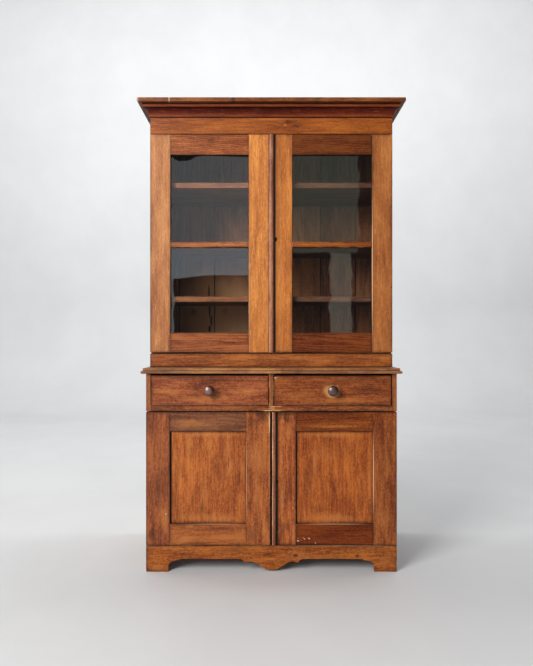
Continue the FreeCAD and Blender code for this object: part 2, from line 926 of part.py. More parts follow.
def muntin(d):
    """Cross bar of a glazed door: a face bar on a narrower stem that splits the two rabbets."""
    low_x = min(d["hinge_edge_x"], d["meeting_edge_x"])
    high_x = max(d["hinge_edge_x"], d["meeting_edge_x"])
    z0, z1 = muntin_stem(d)
    bar_z0 = muntin_top_z - muntin_height
    bar = box(low_x, high_x, d["face_y"], d["tenon_y"], bar_z0, muntin_top_z)
    stem = box(low_x - glass_rabbet, high_x + glass_rabbet, d["tenon_y"], d["back_y"], z0, z1)
    return fused([bar, stem] + tenons(d, z0, z1, stub_tenon))


def pane_openings(d):
    """Lower and upper sight opening of a glazed door."""
    low_x = min(d["hinge_edge_x"], d["meeting_edge_x"])
    high_x = max(d["hinge_edge_x"], d["meeting_edge_x"])
    bar_z0 = muntin_top_z - muntin_height
    return [(low_x, high_x, d["open_z0"], bar_z0), (low_x, high_x, muntin_top_z, d["open_z1"])]


def panes(d):
    reach = glass_rabbet - glass_room
    y0 = d["tenon_y"]
    solids = []
    for x0, x1, z0, z1 in pane_openings(d):
        solids.append(box(x0 - reach, x1 + reach, y0, y0 + glass_thickness, z0 - reach, z1 + reach))
    return solids


def putty(d):
    """Sloping bed of putty behind each pane, against the rabbet's four walls."""
    y0 = d["tenon_y"] + glass_thickness
    y1 = y0 + putty_reach
    solids = []
    for x0, x1, z0, z1 in pane_openings(d):
        out = glass_rabbet
        block = box(x0 - out, x1 + out, y0, y1, z0 - out, z1 + out)
        wires = []
        for y, grow in ((y0, 0.0), (y1, out - putty_foot)):
            corners = [
                Vector(x0 - grow, y, z0 - grow),
                Vector(x1 + grow, y, z0 - grow),
                Vector(x1 + grow, y, z1 + grow),
                Vector(x0 - grow, y, z1 + grow),
            ]
            wires.append(Part.Wire(outline(corners)))
        solids.append(cut(block, [Part.makeLoft(wires, True, True)]))
    return solids


def panel(d):
    """Flat panel with bevels on its back that thin it to the groove."""
    reach = panel_groove_depth - panel_room
    low_x = min(d["hinge_edge_x"], d["meeting_edge_x"]) - reach
    high_x = max(d["hinge_edge_x"], d["meeting_edge_x"]) + reach
    z0, z1 = d["open_z0"] - reach, d["open_z1"] + reach
    y0 = d["tenon_y"]
    tongue = box(low_x, high_x, y0, y0 + panel_tongue, z0, z1)
    wires = []
    for y, inset in ((y0 + panel_tongue, reach), (y0 + panel_thickness, panel_bevel)):
        corners = [
            Vector(low_x + inset, y, z0 + inset),
            Vector(high_x - inset, y, z0 + inset),
            Vector(high_x - inset, y, z1 - inset),
            Vector(low_x + inset, y, z1 - inset),
        ]
        wires.append(Part.Wire(outline(corners)))
    return fused([tongue, Part.makeLoft(wires, True, True)])


def door_leaves(d):
    return [door_leaf(d["hand"], d["face_y"], z) for z in d["hinges"]]


def case_leaves():
    leaves = []
    for hand in (left, right):
        leaves += [case_leaf(hand, front_y, z) for z in lower_hinge_heights]
        leaves += [case_leaf(hand, upper_face_y, z) for z in upper_hinge_heights]
    return leaves


# Drawers


def drawer_places(hand):
    divider_face = divider_x + hand * divider_thickness / 2
    extra = drawer_right_extra_gap if hand == right else 0
    x_inner = divider_face + hand * drawer_end_gap
    x_outer = hand * (inner_x - drawer_end_gap - extra)
    front_z0 = rail_top_z + drawer_front_lift
    return {
        "hand": hand,
        "x0": min(x_inner, x_outer),
        "x1": max(x_inner, x_outer),
        "z0": front_z0,
        "z1": front_z0 + drawer_front_height,
        "side_z0": rail_top_z + drawer_run_clearance,
        "side_z1": front_z0 + drawer_front_height - drawer_side_drop,
        "end_y": back_face_y - drawer_back_gap,
        "bottom_z": rail_top_z + drawer_run_clearance + drawer_bottom_rise,
    }


def dovetails(w, root_y, tip_y, z_low, z_high):
    """Tails that widen from root to tip, one row on each drawer side."""
    pitch = (z_high - z_low - dovetail_pin) / dovetail_count
    tails = []
    for x0, x1 in drawer_side_x(w):
        for index in range(dovetail_count):
            z0 = z_low + dovetail_pin + index * pitch
            z1 = z0 + pitch - dovetail_pin
            points = [
                Vector(x0, root_y, z0),
                Vector(x0, tip_y, z0 - dovetail_slope),
                Vector(x0, tip_y, z1 + dovetail_slope),
                Vector(x0, root_y, z1),
            ]
            tails.append(extruded(outline(points), Vector(x1 - x0, 0, 0)))
    return tails


def drawer_side_x(w):
    t = drawer_side_thickness
    return (w["x0"], w["x0"] + t), (w["x1"] - t, w["x1"])


def front_tails(w):
    root = front_y + drawer_front_thickness
    return dovetails(w, root, front_y + drawer_lap, w["z0"], w["side_z1"])


def back_tails(w):
    floor = w["bottom_z"] + drawer_bottom_thickness
    return dovetails(w, w["end_y"] - drawer_side_thickness, w["end_y"], floor, w["side_z1"])


def drawer_bottom(w):
    """Floor board in grooves in the front and sides, running out under the back."""
    reach = drawer_side_thickness - drawer_groove
    y0 = front_y + drawer_front_thickness - drawer_groove
    z0 = w["bottom_z"]
    return box(w["x0"] + reach, w["x1"] - reach, y0, w["end_y"], z0, z0 + drawer_bottom_thickness)


def drawer_sides(w):
    """Left and right side, each one solid with tails at both ends."""
    tails = front_tails(w) + back_tails(w)
    floor = w["bottom_z"] + drawer_bottom_thickness
    y0 = front_y + drawer_front_thickness
    y1 = w["end_y"] - drawer_side_thickness
    solids = []
    for x0, x1 in drawer_side_x(w):
        body = box(x0, x1, y0, y1, w["side_z0"], w["side_z1"])
        skirt = box(x0, x1, y1, w["end_y"], w["side_z0"], floor)
        own = [tail for tail in tails if x0 - 1 < tail.BoundBox.Center.x < x1 + 1]
        solids.append(cut(fused([body, skirt] + own), [drawer_bottom(w)]))
    return solids


def drawer_back(w):
    floor = w["bottom_z"] + drawer_bottom_thickness
    y0 = w["end_y"] - drawer_side_thickness
    board = box(w["x0"], w["x1"], y0, w["end_y"], floor, w["side_z1"])
    return cut(board, back_tails(w))


def knob_place(w):
    return Vector((w["x0"] + w["x1"]) / 2, front_y, (w["z0"] + w["z1"]) / 2)


def turned(start, middle, end):
    """Points along an arc of the knob's profile, near enough together to look round."""
    return Part.Arc(start, middle, end).discretize(knob_profile_steps + 1)


def knob(w):
    """Turned knob: tenon, collar, waisted neck and a low dome."""
    place = knob_place(w)

    def at(r, out):
        return Vector(place.x + r, place.y - out, place.z)

    inside = -drawer_front_thickness
    rim_out = knob_reach - knob_dome_rise
    under_out = rim_out - knob_rim_height
    dome_out = (knob_reach ** 2 - rim_out ** 2 - knob_dome_radius ** 2) / (2 * knob_dome_rise)
    half_r = knob_dome_radius / 2
    half_out = dome_out + math.sqrt((knob_reach - dome_out) ** 2 - half_r ** 2)
    collar_top = at(knob_collar_radius, knob_collar_height)
    waist = at(knob_neck_radius, (knob_collar_height + under_out) / 2)
    under_rim = at(knob_dome_radius, under_out)
    rim = at(knob_radius, (under_out + rim_out) / 2)
    over_rim = at(knob_dome_radius, rim_out)
    profile = [at(0, inside), at(knob_tenon_radius, inside)]
    profile += [at(knob_tenon_radius, 0), at(knob_collar_radius, 0)]
    profile += turned(collar_top, waist, under_rim)
    profile += turned(under_rim, rim, over_rim)[1:]
    profile += turned(over_rim, at(half_r, half_out), at(0, knob_reach))[1:]
    face = Part.Face(Part.Wire(outline(profile)))
    return face.revolve(place, Vector(0, 1, 0), 360)


def drawer_front(w):
    board = box(w["x0"], w["x1"], front_y, front_y + drawer_front_thickness, w["z0"], w["z1"])
    place = knob_place(w)
    hole = Part.makeCylinder(knob_tenon_radius, drawer_front_thickness, place, Vector(0, 1, 0))
    return cut(board, front_tails(w) + [drawer_bottom(w), hole])


def build():
    os.makedirs("parts", exist_ok=True)
    save("lower_left_side", lower_side(left))
    save("lower_right_side", lower_side(right))
    save("lower_bottom_board", lower_bottom_board())
    save("lower_shelf", lower_shelf())
    lower_back = back_boards(lower_back_first_board, lower_back_board, lower_back_bottom, counter_z)
    save("lower_back_boards", lower_back)
    save("drawer_rail", drawer_rail())
    save("drawer_divider", drawer_divider())
    save("drawer_runners", drawer_runners())
    save("bracket_base", bracket_base())
    save("counter_top", counter_top())
    save("upper_left_side", upper_side(left))
    save("upper_right_side", upper_side(right))
    save("upper_bottom_board", upper_bottom_board())
    save("upper_shelves", [upper_shelf(top) for top in upper_shelf_tops])
    upper_back = back_boards(upper_back_first_board, upper_back_board, counter_top_z, case_top_z)
    save("upper_back_boards", upper_back)
    save("waist_rail", face_board(counter_top_z, waist_top_z))
    save("frieze_board", face_board(frieze_z, case_top_z))
    save("crown_moulding", crown_moulding())
    save("cornice_top_board", top_board())
    save("case_hinge_leaves", case_leaves())
    for level in ("upper", "lower"):
        for side, hand in (("left", left), ("right", right)):
            d = door_places(level, hand)
            name = level + "_" + side + "_door_"
            save(name + "hinge_stile", hinge_stile(d))
            save(name + "meeting_stile", meeting_stile(d))
            save(name + "rails", rails(d))
            save(name + "hinge_leaves", door_leaves(d))
            if d["upper"]:
                save(name + "muntin", muntin(d))
                save(name + "glass", panes(d))
                save(name + "putty", putty(d))
            else:
                save(name + "panel", panel(d))
            if hand == right:
                save(name + "bead", bead(d))
                save(name + "lock", lock(d))
                save(level + "_lock_bolt", lock_bolt(d))
    for side, hand in (("left", left), ("right", right)):
        w = drawer_places(hand)
        name = side + "_drawer_"
        save(name + "front", drawer_front(w))
        save(name + "sides", drawer_sides(w))
        save(name + "back", drawer_back(w))
        save(name + "bottom", drawer_bottom(w))
        save(name + "knob", knob(w))


build()
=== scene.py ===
import math

import bpy
import numpy as np
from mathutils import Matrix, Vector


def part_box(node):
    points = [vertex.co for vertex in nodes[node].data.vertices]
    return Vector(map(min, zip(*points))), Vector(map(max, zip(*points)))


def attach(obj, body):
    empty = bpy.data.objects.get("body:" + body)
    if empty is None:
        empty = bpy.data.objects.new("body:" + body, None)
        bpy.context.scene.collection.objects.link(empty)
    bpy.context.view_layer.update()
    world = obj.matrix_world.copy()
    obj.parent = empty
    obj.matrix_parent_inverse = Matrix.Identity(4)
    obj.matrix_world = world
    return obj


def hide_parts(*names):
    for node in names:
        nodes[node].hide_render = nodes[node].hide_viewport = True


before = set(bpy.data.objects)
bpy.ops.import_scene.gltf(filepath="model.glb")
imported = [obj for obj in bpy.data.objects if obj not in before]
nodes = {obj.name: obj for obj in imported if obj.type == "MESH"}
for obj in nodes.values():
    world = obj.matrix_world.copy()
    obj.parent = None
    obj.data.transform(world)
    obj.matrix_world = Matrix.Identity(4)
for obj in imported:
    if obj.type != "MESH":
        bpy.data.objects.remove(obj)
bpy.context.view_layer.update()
print("frame loaded,", len(nodes), "nodes")


# Camera, level and square to the front, a little left of the middle

camera = {
    "place": (-0.022, -2.605, 1.053),
    "sensor": 36.0,               # millimetres
    "focalPixels": 534.0,
    "imageWidth": 533.0,
    "horizonBelowMiddle": 3.0,    # pixels
}


def placeCamera(spec):
    data = bpy.data.cameras.new("viewCamera")
    data.sensor_fit = "HORIZONTAL"
    data.sensor_width = spec["sensor"]
    data.lens = spec["sensor"] * spec["focalPixels"] / spec["imageWidth"]
    data.shift_y = spec["horizonBelowMiddle"] / spec["imageWidth"]
    made = bpy.data.objects.new("viewCamera", data)
    bpy.context.scene.collection.objects.link(made)
    made.location = spec["place"]
    made.rotation_euler = (math.radians(90), 0, 0)
    bpy.context.scene.camera = made


placeCamera(camera)
bpy.context.scene.view_settings.view_transform = "Standard"


# Small helpers for shader trees

def plug(tree, sockets, values):
    # values are numbers, colours or other sockets, by the names or places of the sockets that they go to
    for key, value in values.items():
        if isinstance(value, bpy.types.NodeSocket):
            tree.links.new(value, sockets[key])
        else:
            sockets[key].default_value = (*value, 1.0) if sockets[key].type == "RGBA" else value


def addNode(tree, kind, inputs=(), **settings):
    made = tree.nodes.new("ShaderNode" + kind)
    for key, value in settings.items():
        setattr(made, key, value)
    plug(tree, made.inputs, inputs if isinstance(inputs, dict) else dict(enumerate(inputs)))
    return made


def calc(tree, operation, *numbers, clamp=False):
    return addNode(tree, "Math", numbers, operation=operation, use_clamp=clamp).outputs[0]


def fold(tree, operation, numbers):
    # one number after another is taken in by the same operation
    result, *others = numbers
    for number in others:
        result = calc(tree, operation, result, number)
    return result


def awayFrom(tree, number, centre):
    return calc(tree, "ABSOLUTE", calc(tree, "SUBTRACT", number, centre))


def longSide(tree, first, second):
    # root of the sum of two squares
    square = calc(tree, "MULTIPLY", second, second)
    return calc(tree, "SQRT", calc(tree, "MULTIPLY_ADD", first, first, square))


def vectorCalc(tree, operation, *vectors):
    return addNode(tree, "VectorMath", vectors, operation=operation).outputs[0]


def combine(tree, *numbers):
    return addNode(tree, "CombineXYZ", numbers).outputs[0]


def noise(tree, place, waves, detail=2.0, roughness=0.5, distortion=0.0):
    # waves per metre in three directions; the last number given stands for those left out
    stretch = (*waves, *waves[-1:] * 2)[:3]
    inputs = {"Vector": vectorCalc(tree, "MULTIPLY", place, stretch), "Scale": 1.0, "Detail": detail,
              "Roughness": roughness, "Distortion": distortion}
    return addNode(tree, "TexNoise", inputs).outputs[0]


def sway(tree, *settings):
    # noise that swings about nought
    return calc(tree, "SUBTRACT", noise(tree, *settings), 0.5)


def remap(tree, number, low, high, newLow=0.0, newHigh=1.0, smooth=True):
    kind = "SMOOTHSTEP" if smooth else "LINEAR"
    return addNode(tree, "MapRange", (number, low, high, newLow, newHigh), interpolation_type=kind).outputs[0]


def blendColour(tree, share, first, second, kind="MIX"):
    # the node's colours are its seventh and eighth sockets
    return addNode(tree, "Mix", {0: share, 6: first, 7: second}, data_type="RGBA", blend_type=kind).outputs[2]


def rampColour(tree, number, stops):
    made = addNode(tree, "ValToRGB", [number])
    points = made.color_ramp.elements
    while len(points) < len(stops):
        points.new(0.5)
    for point, (place, colour) in zip(points, stops):
        point.position = place
        point.color = (*colour, 1.0)
    return made.outputs[0]


def newMaterial(name):
    made = bpy.data.materials.new(name)
    made.use_nodes = True
    tree = made.node_tree
    return made, tree, tree.nodes["Principled BSDF"].inputs


def bump(tree, height, depth):
    return addNode(tree, "Bump", {"Strength": 1.0, "Distance": depth, "Height": height}).outputs["Normal"]


def objectPlace(tree):
    return addNode(tree, "TexCoord").outputs["Object"]


# The figure of sawn pine, shared by all boards.
# Rings are saw-teeth of the distance to a heart line behind the face. The layers are noise drawn out
# along the grain: (waves per metre along, across, detail, roughness, distortion).

pineFigure = {
    "seedShift": (1.37, 2.91, 0.83),      # how far one step of the seed moves the pattern
    "ringSpacing": 0.0085,
    "ringRise": (0.88, 2.0),              # where in a ring it is darkest, and the power of the rise
    "ringFall": 0.9,                      # where in a ring the dark begins to end
    "taper": 0.012,
    "heartWander": (0.1, 1.3),            # reach, waves per metre
    "ringWaves": ((0.016, 1.6, 7.0), (0.007, 9.0, 45.0)),    # reach, waves per metre along and across
    "spread": (0.3, 0.7),                 # the range of a layer's noise that is drawn out to the full one
    "glintShift": (3.1, 1.7, 0.4),
}
layers = {
    "Clouds": (3.2, 8.0, 3.0, 0.5, 0.5),
    "Bands": (4.5, 27.0, 3.0, 0.5, 0.5),
    "Streaks": (10.0, 112.0, 4.0, 0.62, 0.2),
    "Mottle": (95.0, 150.0, 3.0, 0.65, 0.2),
    "Fibres": (45.0, 330.0, 3.0, 0.7, 0.0),
}
flecks = {"Flecks": (18.0, 230.0, 2.0, 0.5, 0.0), "Glints": (26.0, 260.0, 2.0, 0.5, 0.0)}
fleckBand = (0.59, 0.7)


def makeFigureGroup(spec):
    group = bpy.data.node_groups.new("pineFigure", "ShaderNodeTree")
    for name in ("Place", "Seed", "HeartAcross", "HeartDepth", "Bulge"):
        kind = "Vector" if name == "Place" else "Float"
        group.interface.new_socket(name, in_out="INPUT", socket_type="NodeSocket" + kind)
    for name in ("Rings", *layers, *flecks):
        group.interface.new_socket(name, in_out="OUTPUT", socket_type="NodeSocketFloat")
    start = group.nodes.new("NodeGroupInput").outputs
    end = group.nodes.new("NodeGroupOutput").inputs
    shift = combine(group, *[calc(group, "MULTIPLY", start["Seed"], step) for step in spec["seedShift"]])
    place = vectorCalc(group, "ADD", start["Place"], shift)
    along, across, depth = addNode(group, "SeparateXYZ", [start["Place"]]).outputs

    reach, waves = spec["heartWander"]
    wander = sway(group, place, (waves, 0.0), 1.0)
    side = calc(group, "SUBTRACT", across, calc(group, "MULTIPLY_ADD", wander, reach, start["HeartAcross"]))
    back = calc(group, "SUBTRACT", depth, start["HeartDepth"])
    radius = calc(group, "MULTIPLY_ADD", along, spec["taper"], longSide(group, side, back))
    radius = calc(group, "ADD", radius, start["Bulge"])
    for reach, *waves in spec["ringWaves"]:
        radius = calc(group, "MULTIPLY_ADD", sway(group, place, waves), reach, radius)
    turn = calc(group, "FRACT", calc(group, "DIVIDE", radius, spec["ringSpacing"]))
    darkest, power = spec["ringRise"]
    rise = calc(group, "POWER", remap(group, turn, 0.0, darkest, smooth=False), power)
    fall = remap(group, turn, spec["ringFall"], 1.0, 1.0, 0.0)
    made = {"Rings": calc(group, "MULTIPLY", rise, fall)}

    for name, (grain, cross, *character) in layers.items():
        layer = noise(group, place, (grain, cross), *character)
        made[name] = remap(group, layer, *spec["spread"], smooth=False)
    for name, (grain, cross, *character) in flecks.items():
        shifted = vectorCalc(group, "ADD", place, spec["glintShift"]) if name == "Glints" else place
        made[name] = remap(group, noise(group, shifted, (grain, cross), *character), *fleckBand)
    plug(group, end, made)
    return group


figureGroup = makeFigureGroup(pineFigure)

# Steps of each stain, from pale wood to dark lines: (place on the ramp, share of the board's colour)

toneSteps = (
    (0.14, (1.55, 1.78, 1.72)),
    (0.41, (1.13, 1.18, 1.16)),
    (0.6, (0.88, 0.83, 0.84)),
    (0.9, (0.52, 0.4, 0.42)),
)
# glints are pale flecks in the grain that also stand for a painted sparkle of the finish
glintTone = (1.7, 2.0, 2.3)
palest = 0.9
paints = {
    "grime": (0.03, 0.012, 0.006),
    "shade": (0.075, 0.019, 0.007),
    "glow": (0.54, 0.19, 0.045),
    # gap is near black: for cracks and dark joints, and for painted shade and shadow in gaps, recesses and
    # beside the beads
    "gap": (0.006, 0.003, 0.002),
    "rubbed": (0.58, 0.27, 0.085),
    "chipped": (0.72, 0.52, 0.31),
    # pale: worn arrises, and painted highlight on edges and reveals that face the light
    "pale": (0.78, 0.47, 0.27),
    "rust": (0.03, 0.013, 0.008),
}

# What holds for boards that don't say otherwise; a noise is given as (waves per metre, detail, roughness)

finish = {
    "face": "y",
    "heart": (0.0, 0.05),             # place across the grain and depth of the heart line
    "contrast": 2.1,
    "cellStep": 5.3,                  # how far the seeds of a node's boards lie apart
    "cellTint": 0.08,
    "fleckShares": {"Flecks": 0.4, "Glints": 0.5},
    "dirtyEdge": (0.014, 0.42),       # reach and strength of the old dirt towards a board's edges
    "dirtTear": ((26.0, 70.0), 3.0),
    "dirtPatches": ((3.0, 9.0), 2.0),
    "patchBand": (0.38, 0.62, 0.2),   # start and end of the patches, and the dirt left between them
    "patchGain": 1.4,
    "edgeLine": (0.0007, 0.001),      # half-width and softness of the line at the very edge
    "edgeDark": 0.5,
    "wornPatches": ((16.0, 30.0), 3.0, 0.6),
    "wornBand": (0.5, 0.6),
    "wornStrip": (0.0016, 0.0034),    # how far from the edge the worn strip starts and ends to fade
    "rimDepth": (0.0012, 0.0045),     # how far behind the face the painted gap shade of an edge starts and ends to darken
    "rimBack": (0.001, 0.0004),       # how far before the back the painted gap shade ends again
    "rimReach": (0.001, 0.002),       # how far inside the outline the dark edge ends
    "rimDark": 0.86,
    "rimInside": (0.5545, 0.5575),    # edges further out than this are in plain sight and get no painted shade
    "roughness": (0.36, 0.55),
    "specular": 0.22,
    "coat": 0.05,
    "coatRoughness": 0.2,
    "bump": 0.00035,
    "bumpShares": {"Fibres": 0.5, "Rings": 0.4},
    "innerSoft": 0.0004,
    "innerCalm": 0.5,                 # share of the figure's contrast on the unseen side of a board
}
figureWeights = {"Clouds": 0.2, "Bands": 0.22, "Streaks": 0.24, "Mottle": 0.2, "Fibres": 0.09, "Rings": 0.05}

# Marks on a board, in the order in which they are painted: (paint, softness and raggedness of their edges)

stains = {"glows": ("glow", 1.0, 2.2), "shades": ("shade", 1.0, 2.2), "smudges": ("grime", 0.9, 2.2),
          "blots": ("shade", 0.7, 0.8)}
# pale lines along arrises are partly wear and partly painted highlight, where an edge faces the light
wear = {"wear": ("rubbed", 0.45, 2.2), "halo": ("rubbed", 0.4, 1.1), "chips": ("chipped", 0.35, 2.2),
        "pale": ("pale", 0.5, 0.8)}
cracks = {"holes": ("gap", 0.35, 0.5)}
spotEdge = {
    "waves": (0.45, 0.9),         # in each radius of the spot
    "noise": (3.0, 0.65),
    "outside": 0.3,               # share of the softness that lies outside the spot
}
knotLook = {
    "length": 1.3,                # in its own radii, as all its other measures are
    "swell": (4.5, 2.2),          # how far off and how strongly a knot bends the rings
    "rings": (14.0, 0.12),        # how close its own rings stand and how far they show
    "core": (0.75, 1.25, 0.9),    # where its dark core starts and ends to fade, and its strength
    "halo": (1.0, 3.2, 0.4),
}


def toned(colour, factors):
    return tuple(min(channel * factor, palest) for channel, factor in zip(colour, factors))


def stainRamp(tree, tone, colour):
    return rampColour(tree, tone, [(place, toned(colour, factors)) for place, factors in toneSteps])


def edgeDistance(tree, across, along, box):
    # distance in the face to the nearest edge of a board that spans box = (across0, across1, along0, along1)
    gaps = ((across, box[0]), (box[1], across), (along, box[2]), (box[3], along))
    return fold(tree, "MINIMUM", [calc(tree, "SUBTRACT", *gap) for gap in gaps])


def spotDistance(tree, point, spot):
    # distance to a spot, measured in its own radii: spot = (across, along, acrossRadius, alongRadius)
    side = calc(tree, "DIVIDE", calc(tree, "SUBTRACT", point["across"], spot[0]), spot[2])
    run = calc(tree, "DIVIDE", calc(tree, "SUBTRACT", point["along"], spot[1]), spot[3])
    return longSide(tree, side, run)


def paintSpots(tree, colour, board, point, kinds):
    # a spot's fifth number is its strength
    for key, (paint, soft, raggedness) in kinds.items():
        for spot in board.get(key, ()):
            waves = [share / min(spot[2:4]) for share in spotEdge["waves"]]
            torn = sway(tree, point["place"], waves, *spotEdge["noise"])
            reach = calc(tree, "MULTIPLY_ADD", torn, raggedness, spotDistance(tree, point, spot))
            mask = remap(tree, reach, 1.0 - soft, 1.0 + soft * spotEdge["outside"], spot[4], 0.0)
            colour = blendColour(tree, mask, colour, paints[paint])
    return colour


def paintKnots(tree, colour, reaches, dark, mid):
    closeness, contrast = knotLook["rings"]
    for reach in reaches:
        ring = calc(tree, "SINE", calc(tree, "MULTIPLY", reach, closeness))
        core = remap(tree, reach, *knotLook["core"], 0.0)
        core = calc(tree, "MULTIPLY_ADD", calc(tree, "MULTIPLY", ring, core), contrast, core, clamp=True)
        colour = blendColour(tree, core, colour, dark)
        colour = blendColour(tree, remap(tree, reach, *knotLook["halo"], 0.0), colour, mid)
    return colour


def paintEdges(tree, colour, board, point):
    # patchy old dirt that reaches in from the edges, a dark line at the very edge, and on some boards wear
    place = point["place"]
    nearest = fold(tree, "MAXIMUM", [edgeDistance(tree, point["across"], point["along"], box)
                                     for box in board["edges"]])
    reach, strength = board["dirtyEdge"]
    loose = calc(tree, "MULTIPLY_ADD", sway(tree, place, *board["dirtTear"]), reach, nearest)
    patchy = remap(tree, noise(tree, place, *board["dirtPatches"]), *board["patchBand"],
                   strength * board["patchGain"])
    dirt = calc(tree, "MULTIPLY", remap(tree, loose, 0.0, reach, 1.0, 0.0), patchy)
    halfWidth, soft = board["edgeLine"]
    line = remap(tree, nearest, halfWidth, halfWidth + soft, board["edgeDark"], 0.0)
    for mask in (dirt, line):
        colour = blendColour(tree, mask, colour, paints["grime"])
    if "worn" in board:
        patches = noise(tree, place, *board["wornPatches"])
        patches = remap(tree, patches, *board["wornBand"], 0.0, board["worn"])
        strip = remap(tree, nearest, *board["wornStrip"], 1.0, 0.0)
        colour = blendColour(tree, calc(tree, "MULTIPLY", patches, strip), colour, paints["rubbed"])
    return colour


def paintInner(tree, colour, board, point, tone):
    # the unseen side of a board was stained thinly or not at all
    axis, position, sign, other = board["inner"]
    beyond = calc(tree, "MULTIPLY", calc(tree, "SUBTRACT", point[axis], position), sign)
    calm = calc(tree, "MULTIPLY_ADD", tone, board["innerCalm"], 0.5 - board["innerCalm"] / 2)
    mask = remap(tree, beyond, -board["innerSoft"], board["innerSoft"])
    return blendColour(tree, mask, colour, stainRamp(tree, calm, other))


def gapShadeMask(tree, board, point):
    # painted shade: the outer edges of a door, drawer or rail are painted dark behind the face, where they
    # stand in a gap and lie in shade
    faceY, backY, outline = board["rim"]
    start, end = (faceY + depth for depth in board["rimDepth"])
    cleanStart, cleanEnd = (backY - depth for depth in board["rimBack"])
    return fold(tree, "MULTIPLY", [
        remap(tree, point["y"], start, end, 0.0, board["rimDark"]),
        remap(tree, point["y"], cleanStart, cleanEnd, 1.0, 0.0),
        remap(tree, calc(tree, "ABSOLUTE", point["x"]), *board["rimInside"], 1.0, 0.0),
        remap(tree, edgeDistance(tree, point["x"], point["z"], outline), *board["rimReach"], 1.0, 0.0),
    ])


def nailMask(tree, spec, point):
    # nail heads in upright boards of equal width: two across each board, a row at each given height
    pitch = spec["pitch"]
    start = spec["start"] - pitch * 10    # ten boards further off, so that the offset is never below nought
    offset = calc(tree, "SUBTRACT", point["x"], start)
    side = awayFrom(tree, calc(tree, "MODULO", offset, pitch), pitch / 2)
    side = awayFrom(tree, side, pitch / 2 - spec["fromEdge"])
    rise = fold(tree, "MINIMUM", [awayFrom(tree, point["z"], height) for height in spec["heights"]])
    return remap(tree, longSide(tree, side, rise), *spec["head"], 0.0)


def boardPoint(tree, board):
    # where the shaded point lies: x, y and z, across and along the grain, and place = (along, across, depth)
    point = dict(zip("xyz", addNode(tree, "SeparateXYZ", [objectPlace(tree)]).outputs))
    grain, face = board["grain"], board["face"]
    crossing = next(letter for letter in "xyz" if letter not in (grain, face))
    place = combine(tree, point[grain], point[crossing], point[face])
    return {**point, "across": point[crossing], "along": point[grain], "place": place}


def boardSeed(tree, board, point):
    # each board of a node has its own seed: the joints that lie below the point are counted
    if "cells" not in board:
        return board["seed"]
    axis, joints = board["cells"]
    passed = fold(tree, "ADD", [calc(tree, "GREATER_THAN", point[axis], joint) for joint in joints])
    return calc(tree, "MULTIPLY_ADD", passed, board["cellStep"], board["seed"])


def boardTone(tree, board, figure, seed):
    # weighted mean of the figure's layers, with a tint of each board's own, spread about the middle
    weights = {**figureWeights, **board.get("weights", {})}
    total = sum(weights.values())
    tone = fold(tree, "ADD", [calc(tree, "MULTIPLY", figure[key], weight / total)
                              for key, weight in weights.items()])
    if "cells" in board:
        tint = addNode(tree, "TexWhiteNoise", {"W": seed}, noise_dimensions="1D").outputs[0]
        tint = remap(tree, tint, 0.0, 1.0, -board["cellTint"], board["cellTint"], False)
        tone = calc(tree, "ADD", tone, tint)
    return calc(tree, "MULTIPLY_ADD", calc(tree, "SUBTRACT", tone, 0.5), board["contrast"], 0.5)


def boardFigure(tree, board, point, seed, reaches):
    # the shared figure, placed by the board's seed and heart, with its rings bent round the knots
    bend, strength = knotLook["swell"]
    swells = [calc(tree, "MULTIPLY", remap(tree, reach, 0.0, bend, 1.0, 0.0), knot[2] * strength)
              for reach, knot in zip(reaches, board.get("knots", ()))]
    heartAcross, heartDepth = board["heart"]
    inputs = {"Place": point["place"], "Seed": seed, "HeartAcross": heartAcross, "HeartDepth": heartDepth,
              "Bulge": fold(tree, "ADD", swells or [0.0])}
    return addNode(tree, "Group", inputs, node_tree=figureGroup).outputs


def paintBoard(tree, board, point, figure, tone, reaches):
    # the stain first, and each mark over the one before it
    colour = stainRamp(tree, tone, board["colour"])
    for axis, start, end, other in board.get("others", ()):
        colour = blendColour(tree, remap(tree, point[axis], start, end), colour, stainRamp(tree, tone, other))
    mid, dark, light = (toned(board["colour"], factors)
                        for factors in (toneSteps[2][1], toneSteps[3][1], glintTone))
    for key, fleck in (("Flecks", dark), ("Glints", light)):
        share = calc(tree, "MULTIPLY", figure[key], board["fleckShares"][key])
        colour = blendColour(tree, share, colour, fleck)
    colour = paintKnots(tree, colour, reaches, dark, mid)
    colour = paintSpots(tree, colour, board, point, stains)
    if "edges" in board:
        colour = paintEdges(tree, colour, board, point)
    colour = paintSpots(tree, colour, board, point, wear)
    if "inner" in board:
        colour = paintInner(tree, colour, board, point, tone)
    colour = paintSpots(tree, colour, board, point, cracks)
    # dark lines: some are joints, others are painted shade and shadow beside the beads, on the recessed
    # panels and under the mouldings
    for axis, centre, halfWidth, soft, strength in board.get("lines", ()):
        away = awayFrom(tree, point[axis], centre)
        mask = remap(tree, away, halfWidth, halfWidth + soft, strength, 0.0)
        colour = blendColour(tree, mask, colour, paints["gap"])
    # painted shade on the edges that stand in gaps
    if "rim" in board:
        colour = blendColour(tree, gapShadeMask(tree, board, point), colour, paints["gap"])
    if "nails" in board:
        colour = blendColour(tree, nailMask(tree, board["nails"], point), colour, paints["rust"])
    return colour


